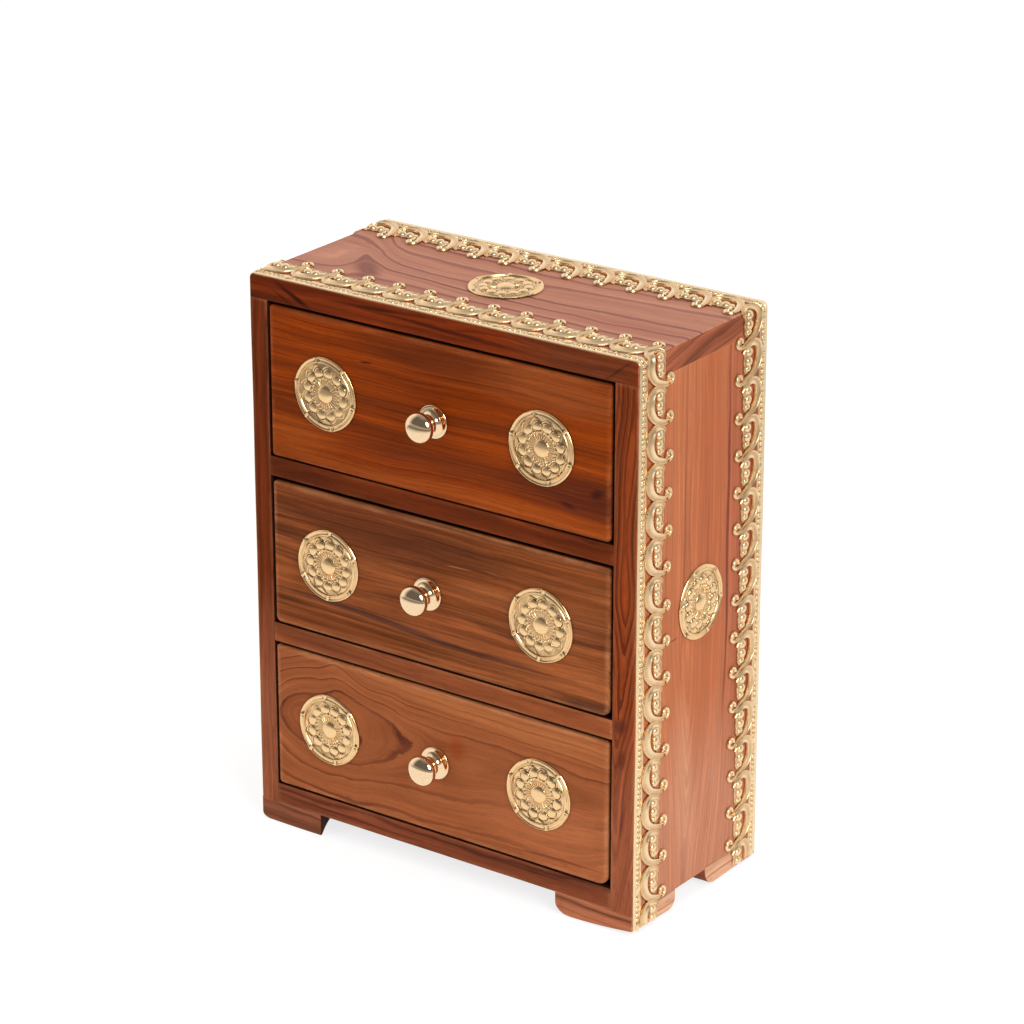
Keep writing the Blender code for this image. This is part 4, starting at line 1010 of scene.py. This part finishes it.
def smoothLine(points, pieces):   # the same points with a curve through them
    points = [Vector(p) for p in points]
    line = []
    for i in range(len(points) - 1):
        p0, p1 = points[max(i - 1, 0)], points[i]
        p2, p3 = points[i + 1], points[min(i + 2, len(points) - 1)]
        for k in range(pieces):
            u = k / pieces
            line.append(0.5 * (2 * p1 + (p2 - p0) * u + (2 * p0 - 5 * p1 + 4 * p2 - p3) * u * u
                               + (3 * p1 - p0 - 3 * p2 + p3) * u ** 3))
    return line + [points[-1]]


def sweepBand(shape, relief, line, section):   # line: s, t, half width, height
    rows = []
    low = strip["under"]
    for i, (s, t, half, high) in enumerate(line):
        before, after = line[max(i - 1, 0)], line[min(i + 1, len(line) - 1)]
        ahead = Vector((after[0] - before[0], after[1] - before[1])).normalized()
        row = []
        for across, lift in section:
            v = shape.verts.new(((s - ahead.y * half * across) * mm, (t + ahead.x * half * across) * mm,
                                 low + (high * mm - low) * lift))
            v[relief] = lift * min(1.0, high / 1.30)
            row.append(v)
        rows.append(row)
    loft(shape, rows)


def bead(shape, relief, s, t, halfS, halfT, foot, rise, steps=10, rows=4):
    profile = [(math.cos(a), rise * math.sin(a)) for a in np.linspace(math.pi / 2, 0, rows + 1)]
    profile[0] = (0.0, rise)
    profile += [(1.0, -foot - 0.22), (0.0, -foot - 0.22)]
    place = Matrix.Translation((s * mm, t * mm, foot * mm)) @ Matrix.Diagonal((halfS * mm, halfT * mm, mm, 1))
    lathe(shape, profile, place, steps, relief)


def scrollMotif():   # an open ring, its bead column, and the curl that reaches inward, round s = 0
    shape = bmesh.new()
    relief = shape.verts.layers.float.new("relief")
    sweepBand(shape, relief, smoothLine(strip["ring"], 3), ringSection)
    lobeS, lobeT = strip["lobe"]
    curl = []
    for share in np.linspace(0, 1, 17):
        a, radius, half, high = (np.interp(share, (0, 1), ends) for ends in (
            np.radians(strip["lobeTurn"]), strip["lobeRadius"], *zip(*strip["lobeBand"])))
        curl.append((lobeS + radius * math.cos(a), lobeT + radius * math.sin(a), half, high))
    sweepBand(shape, relief, curl, ridgeSection)
    bead(shape, relief, lobeS, lobeT, *strip["dish"])
    bead(shape, relief, lobeS, lobeT, *strip["eye"])
    start, end, middle, half, high = strip["plate"]
    at, rimHalf, rimHigh = strip["rim"]
    plate, rim = [], []
    for s in np.linspace(start, end, 15):
        swell = 0.35 * math.cos(math.tau * (s + 11.0) / 3.9)
        fromMiddle = (s - (start + end) / 2) / (end - start) * 2
        taper = min(1.0, 0.35 + 0.9 * math.sqrt(max(0.0, 1 - fromMiddle ** 2)))
        plate.append((s, middle - half * (1 - taper) * 0.5, half * (0.5 + 0.5 * taper) + 0.4 * swell, high))
        rim.append((s, at - 2.2 * (1 - taper) + 0.7 * swell, rimHalf, rimHigh))
    sweepBand(shape, relief, plate, plateSection)
    sweepBand(shape, relief, rim, ridgeSection)
    for s, t, halfS, halfT, rise in strip["bigBeads"]:
        bead(shape, relief, s, t, halfS, halfT, 0.25, rise, 14, 5)
    return shape


def railShape(stations):   # border lip and the rail that carries the bead row
    shape = bmesh.new()
    relief = shape.verts.layers.float.new("relief")
    rows = []
    for s in stations:
        row = []
        for t, n, worn in strip["rail"]:
            v = shape.verts.new((s, t * mm, n * mm))
            v[relief] = worn
            row.append(v)
        rows.append(row)
    loft(shape, rows)
    return shape


def stripTree():
    tree, given = newTree("scroll strip", (
        ("Motif", "Object"), ("Bead", "Object"), ("Tack", "Object"), ("Brass", "Material"),
        ("Motifs", "Int"), ("First motif", "Float"), ("Pitch", "Float"),
        ("Beads", "Int"), ("Bead pitch", "Float"), ("Bead row", "Float"),
        ("Tacks", "Int"), ("Tack pitch", "Float"), ("Tack row", "Float"),
        ("Rise", "Float"), ("Fold radius", "Float"), ("Run", "Float"),
        ("End height", "Float"), ("Front", "Float"), ("Sway", "Float"), ("Seed", "Int")))

    def row(shapeInput, count, first, pitch, sideways, turnMost, scaleLow, scaleHigh):
        start = put(tree, "ShaderNodeCombineXYZ", {0: first, 1: sideways}).outputs[0]
        step = put(tree, "ShaderNodeCombineXYZ", {0: pitch}).outputs[0]
        line = put(tree, "GeometryNodeMeshLine", {"Count": count, "Start Location": start, "Offset": step},
                   mode="OFFSET").outputs[0]
        least, most = (0, 0, -turnMost), (0, 0, turnMost)
        turn = put(tree, "FunctionNodeRandomValue", {0: least, 1: most, "Seed": given["Seed"]},
                   data_type="FLOAT_VECTOR").outputs[0]
        size = put(tree, "FunctionNodeRandomValue", {2: scaleLow, 3: scaleHigh, "Seed": given["Seed"]},
                   data_type="FLOAT").outputs[1]
        source = put(tree, "GeometryNodeObjectInfo", {"Object": shapeInput}).outputs["Geometry"]
        return put(tree, "GeometryNodeInstanceOnPoints", {
            "Points": line, "Instance": source, "Rotation": turn, "Scale": size}).outputs[0]

    motifs = row(given["Motif"], given["Motifs"], given["First motif"], given["Pitch"], 0.0, 0.02, 0.985,
                 1.015)
    beads = row(given["Bead"], given["Beads"], given["Bead pitch"], given["Bead pitch"], given["Bead row"],
                0.4, 0.85, 1.1)
    tacks = row(given["Tack"], given["Tacks"], given["Tack pitch"], given["Tack pitch"], given["Tack row"],
                0.4, 0.8, 1.1)
    joined = put(tree, "GeometryNodeJoinGeometry")
    for source in (given["Geometry"], motifs, beads, tacks):
        tree.links.new(source, joined.inputs[0])
    solid = put(tree, "GeometryNodeRealizeInstances", {"Geometry": joined.outputs[0]}).outputs[0]
    # sway a little from side to side, then lay the flat strip up one side, over the top and down the other
    place = put(tree, "GeometryNodeInputPosition").outputs[0]
    s, t, n = put(tree, "ShaderNodeSeparateXYZ", {0: place}).outputs
    slow = calc(tree, "MULTIPLY_ADD", s, 14.0, given["Seed"])
    drift = put(tree, "ShaderNodeTexNoise", {"W": slow, "Scale": 1.0, "Detail": 1.0},
                noise_dimensions="1D").outputs["Fac"]
    t = calc(tree, "MULTIPLY_ADD", calc(tree, "SUBTRACT", drift, 0.5), given["Sway"], t)
    rise, radius, run = given["Rise"], given["Fold radius"], given["Run"]
    fold = calc(tree, "MULTIPLY", radius, math.pi / 2)

    def clampedFrom(start, most):
        return calc(tree, "MINIMUM", calc(tree, "MAXIMUM", calc(tree, "SUBTRACT", s, start), 0.0), most)

    overTop = calc(tree, "ADD", rise, fold)
    lastFold = calc(tree, "ADD", overTop, run)
    lastRise = calc(tree, "ADD", lastFold, fold)
    up = calc(tree, "MINIMUM", s, rise)
    firstTurn = calc(tree, "DIVIDE", clampedFrom(rise, fold), radius)
    across = clampedFrom(overTop, run)
    secondTurn = calc(tree, "DIVIDE", clampedFrom(lastFold, fold), radius)
    down = calc(tree, "MAXIMUM", calc(tree, "SUBTRACT", s, lastRise), 0.0)
    out = calc(tree, "ADD", radius, n)
    sideways = calc(tree, "SUBTRACT", calc(tree, "SINE", secondTurn), calc(tree, "COSINE", firstTurn))
    upwards = calc(tree, "MULTIPLY", calc(tree, "SINE", firstTurn), calc(tree, "COSINE", secondTurn))
    halfRun = calc(tree, "DIVIDE", run, 2.0)
    x = calc(tree, "MULTIPLY_ADD", out, sideways, calc(tree, "SUBTRACT", across, halfRun))
    y = calc(tree, "ADD", given["Front"], t)
    z = calc(tree, "MULTIPLY_ADD", out, upwards,
             calc(tree, "ADD", given["End height"], calc(tree, "SUBTRACT", up, down)))
    laid = put(tree, "ShaderNodeCombineXYZ", {0: x, 1: y, 2: z}).outputs[0]
    folded = put(tree, "GeometryNodeSetPosition", {"Geometry": solid, "Position": laid}).outputs[0]
    painted = put(tree, "GeometryNodeSetMaterial",
                  {"Geometry": folded, "Material": given["Brass"]}).outputs[0]
    put(tree, "NodeGroupOutput", {0: painted})
    return tree


def trimmed(shape, at, low, high):   # a motif at s = at, cut off at the strip's ends
    bmesh.ops.translate(shape, verts=shape.verts[:], vec=(at, 0, 0))
    for spot, normal in ((low, (-1, 0, 0)), (high, (1, 0, 0))):
        everything = shape.verts[:] + shape.edges[:] + shape.faces[:]
        bmesh.ops.bisect_plane(shape, geom=everything, plane_co=(spot, 0, 0), plane_no=normal,
                               clear_outer=True)
    bmesh.ops.holes_fill(shape, edges=[e for e in shape.edges if e.is_boundary])
    return shape


def mergeShapes(first, second):
    holder = bpy.data.meshes.new("holder")
    second.to_mesh(holder)
    second.free()
    first.from_mesh(holder)
    bpy.data.meshes.remove(holder)


def smallShape(bump):
    shape = bmesh.new()
    bead(shape, shape.verts.layers.float.new("relief"), 0, 0, *bump)
    return shape


def scrollStrip(name, node, seed, atRear):
    radius = boards["edgeRadius"] + strip["gap"]
    rise = topHigh.z - boards["edgeRadius"] - strip["endHeight"]
    run = topHigh.x - topLow.x - 2 * boards["edgeRadius"]
    fold = radius * math.pi / 2
    length = 2 * rise + 2 * fold + run
    last = length - strip["lastCurl"]
    count = int((last - 16 * mm) / strip["pitch"]) + 1
    first = last - (count - 1) * strip["pitch"]
    stations = []
    for start, end, step in ((0, rise, 4 * mm), (rise, rise + fold, 0.4 * mm),
                             (rise + fold, rise + fold + run, 4 * mm),
                             (rise + fold + run, length - rise, 0.4 * mm), (length - rise, length, 4 * mm)):
        pieces = max(1, round((end - start) / step))
        stations += [start + (end - start) * i / pieces for i in range(pieces)]
    rail = railShape(stations + [length])
    for at in (first - strip["pitch"], last + strip["pitch"]):
        mergeShapes(rail, trimmed(scrollMotif(), at, 0.0, length))
    host = addTemplate(name + "_rail", rail)
    templates = {"Motif": addTemplate(name + "_motif", scrollMotif()),
                 "Bead": addTemplate(name + "_bead", smallShape(strip["bead"])),
                 "Tack": addTemplate(name + "_tack", smallShape(strip["tack"]))}
    mesh = runNodes(host, stripTree(), {
        **templates, "Brass": stripBrass, "Motifs": count, "First motif": first, "Pitch": strip["pitch"],
        "Beads": int(length / strip["beadPitch"]) - 1, "Bead pitch": strip["beadPitch"],
        "Bead row": strip["beadRow"], "Tacks": int(length / strip["tackPitch"]),
        "Tack pitch": strip["tackPitch"], "Tack row": strip["tackRow"], "Rise": rise, "Fold radius": radius,
        "Run": run, "End height": strip["endHeight"], "Front": frontY + strip["edgeInset"],
        "Sway": strip["sway"], "Seed": seed})
    for template in templates.values():
        bpy.data.objects.remove(template)
    if atRear:
        mesh.transform(Matrix.Translation((0, frontY + rearY, 0)) @ Matrix.Diagonal((1, -1, 1, 1)))
        mesh.flip_normals()
    print(name, len(mesh.polygons), "faces")
    return addPiece(name, mesh, stripBrass, "carcass", "strip_brass", node)


scrollStrip("front_scroll_strip", "front_strip", 5, False)
scrollStrip("rear_scroll_strip", "rear_strip", 9, True)

# Nail heads: one row of points for each body, each with the way it faces
nails = {
    "head": (1.0, 1.0, 0.1, 0.35, 10, 3), "sink": 0.12 * mm, "boxSink": 0.25 * mm, "boxEdge": 3 * mm,
    "boxShares": (0.2, 0.5, 0.8), "backEdge": 5 * mm, "backStart": 12 * mm, "backRows": 5,
    "backColumns": (-45 * mm, 0.0, 45 * mm),
}


def nailTree():
    tree, given = newTree("nail heads", (("Head", "Object"), ("Steel", "Material"), ("Seed", "Int")))
    way = put(tree, "GeometryNodeInputNamedAttribute", {"Name": "facing"},
              data_type="FLOAT_VECTOR").outputs[0]
    turn = put(tree, "FunctionNodeAlignRotationToVector", {"Vector": way}, axis="Z").outputs[0]
    size = put(tree, "FunctionNodeRandomValue", {2: 0.8, 3: 1.1, "Seed": given["Seed"]},
               data_type="FLOAT").outputs[1]
    source = put(tree, "GeometryNodeObjectInfo", {"Object": given["Head"]}).outputs["Geometry"]
    heads = put(tree, "GeometryNodeInstanceOnPoints", {
        "Points": given["Geometry"], "Instance": source, "Rotation": turn, "Scale": size}).outputs[0]
    solid = put(tree, "GeometryNodeRealizeInstances", {"Geometry": heads}).outputs[0]
    painted = put(tree, "GeometryNodeSetMaterial",
                  {"Geometry": solid, "Material": given["Steel"]}).outputs[0]
    put(tree, "NodeGroupOutput", {0: painted})
    return tree


def nailHeads(name, body, places, seed):   # places: point and the way the head faces
    shape = bmesh.new()
    for point, way in places:
        shape.verts.new(Vector(point) - Vector(way) * nails["sink"])
    host = addTemplate(name + "_points", shape)
    ways = host.data.attributes.new("facing", "FLOAT_VECTOR", "POINT")
    for i, (point, way) in enumerate(places):
        ways.data[i].vector = way
    head = addTemplate(name + "_head", smallShape(nails["head"]))
    mesh = runNodes(host, nailTree(), {"Head": head, "Steel": steel, "Seed": seed})
    bpy.data.objects.remove(head)
    return addPiece(name, mesh, steel, body, "steel")


backLow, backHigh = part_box("back_panel")
edge, start, rows = nails["backEdge"], nails["backStart"], nails["backRows"]
places = []
for i in range(rows):
    z = backLow.z + start + (backHigh.z - backLow.z - 2 * start) * i / (rows - 1)
    places += [((x, backHigh.y, z), (0, 1, 0)) for x in (backLow.x + edge, backHigh.x - edge)]
for x in nails["backColumns"]:
    places += [((x, backHigh.y, z), (0, 1, 0)) for z in (backLow.z + edge, backHigh.z - edge)]
nailHeads("back_nail_heads", "carcass", places, 3)
for i, name in enumerate(("top", "middle", "bottom")):
    places = []
    for side, way in (("left", -1), ("right", 1)):
        low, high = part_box(f"{name}_drawer_{side}_side")
        x = high.x if way > 0 else low.x
        for y in (low.y + nails["boxEdge"], high.y - nails["boxEdge"]):
            for share in nails["boxShares"]:
                places.append(((x - way * nails["boxSink"], y, low.z + (high.z - low.z) * share),
                               (way, 0, 0)))
    nailHeads(name + "_drawer_nail_heads", name + "_drawer", places, 5 + i)
print("nails made")

# Studio: white floor and backdrop, a dim room behind the camera, a large soft light to the right
studio = {
    "floorRadius": 2.8, "ambient": 0.55, "room": 0.14, "behind": (-0.584, 0.811, 0.0),
    # place, aim, size, power, whether the brass mirrors it
    "key": ((1.9, -0.9, 1.3), (0, 0, 0.12), 1.3, 34.0, True),
    "fill": ((-1.2, -1.9, 1.2), (0, 0, 0.12), 1.2, 9.0, False),
    "top": ((0.2, 0.3, 2.2), (0, 0, 0.2), 1.5, 14.0, False),
}


def lamp(name):
    place, aim, size, power, mirrored = studio[name]
    data = bpy.data.lights.new(name, "AREA")
    data.shape = "DISK"
    data.size = size
    data.energy = power
    made = bpy.data.objects.new(name, data)
    made.location = place
    made.visible_glossy = mirrored
    made.rotation_mode = "QUATERNION"
    made.rotation_quaternion = (Vector(aim) - Vector(place)).to_track_quat("-Z", "Y")
    bpy.context.scene.collection.objects.link(made)


floorShape = bmesh.new()
bmesh.ops.create_circle(floorShape, cap_ends=True, segments=96, radius=studio["floorRadius"])
floorMesh = bpy.data.meshes.new("floor")
floorShape.to_mesh(floorMesh)
floorShape.free()
floor = bpy.data.objects.new("floor", floorMesh)
bpy.context.scene.collection.objects.link(floor)
floorFinish, tree, shader = newFinish("pale floor")
tree.nodes.remove(shader)
path = put(tree, "ShaderNodeLightPath").outputs
spot = put(tree, "ShaderNodeTexCoord").outputs["Object"]
far = put(tree, "ShaderNodeVectorMath", {0: spot}, operation="LENGTH").outputs["Value"]
rearward = put(tree, "ShaderNodeVectorMath", {0: spot, 1: studio["behind"]},
               operation="DOT_PRODUCT").outputs["Value"]
shine = calc(tree, "MAXIMUM", remap(tree, far, 0.45, 0.95, 1.0, 0.22), remap(tree, rearward, 0.0, 0.4))
matte = put(tree, "ShaderNodeBsdfDiffuse", {"Color": grey(0.30)}).outputs[0]
glow = put(tree, "ShaderNodeEmission", {"Color": grey(1.0), "Strength": 0.78}).outputs[0]
bright = put(tree, "ShaderNodeAddShader", {0: matte, 1: glow}).outputs[0]
mirrored = put(tree, "ShaderNodeEmission", {"Color": grey(1.0), "Strength": shine}).outputs[0]
plain = put(tree, "ShaderNodeBsdfDiffuse", {"Color": grey(0.85)})
tree.links.new(remap(tree, far, 0.3, 1.2, 0.9, 0.4), plain.inputs["Color"])
glossy = calc(tree, "MAXIMUM", path["Is Glossy Ray"], path["Is Transmission Ray"])
mixed = put(tree, "ShaderNodeMixShader", {0: glossy, 1: plain.outputs[0], 2: mirrored}).outputs[0]
mixed = put(tree, "ShaderNodeMixShader", {0: path["Is Camera Ray"], 1: mixed, 2: bright}).outputs[0]
tree.links.new(mixed, tree.nodes["Material Output"].inputs["Surface"])
floorMesh.materials.append(floorFinish)

world = bpy.data.worlds.new("room")
bpy.context.scene.world = world
world.use_nodes = True
tree = world.node_tree
sky = tree.nodes["Background"]
path = put(tree, "ShaderNodeLightPath").outputs
way = put(tree, "ShaderNodeTexCoord").outputs["Generated"]
upward = put(tree, "ShaderNodeSeparateXYZ", {0: way}).outputs[2]
rearward = put(tree, "ShaderNodeVectorMath", {0: way, 1: studio["behind"]},
               operation="DOT_PRODUCT").outputs["Value"]
room = ramp(tree, upward, [(0.0, grey(0.45)), (0.10, grey(studio["room"])), (0.75, grey(studio["room"])),
                           (1.0, grey(0.35))])
backdrop = ramp(tree, upward, [(0.0, grey(1.0)), (0.70, grey(1.0)), (1.0, grey(0.35))])
around = tint(tree, remap(tree, rearward, -0.15, 0.25), room, backdrop)
glossy = calc(tree, "MAXIMUM", path["Is Glossy Ray"], path["Is Transmission Ray"])
ambient = tint(tree, glossy, grey(studio["ambient"]), around)
tree.links.new(tint(tree, path["Is Camera Ray"], ambient, grey(1.0)), sky.inputs["Color"])

for name in ("key", "fill", "top"):
    lamp(name)

# Camera, as the chest was photographed
shot = {"azimuth": 35.75, "elevation": 21.36, "place": (0.9187, -1.26445, 0.7685), "lens": 137.5}
az, el = math.radians(shot["azimuth"]), math.radians(shot["elevation"])
back = Vector((math.sin(az) * math.cos(el), -math.cos(az) * math.cos(el), math.sin(el)))
eye = bpy.data.cameras.new("camera")
eye.lens = shot["lens"]
eye.sensor_width = 36
eyeObject = bpy.data.objects.new("camera", eye)
eyeObject.location = shot["place"]
eyeObject.rotation_mode = "QUATERNION"
eyeObject.rotation_quaternion = (-back).to_track_quat("-Z", "Y")
bpy.context.scene.collection.objects.link(eyeObject)
bpy.context.scene.camera = eyeObject
bpy.context.scene.view_settings.view_transform = "Standard"
print("studio ready")
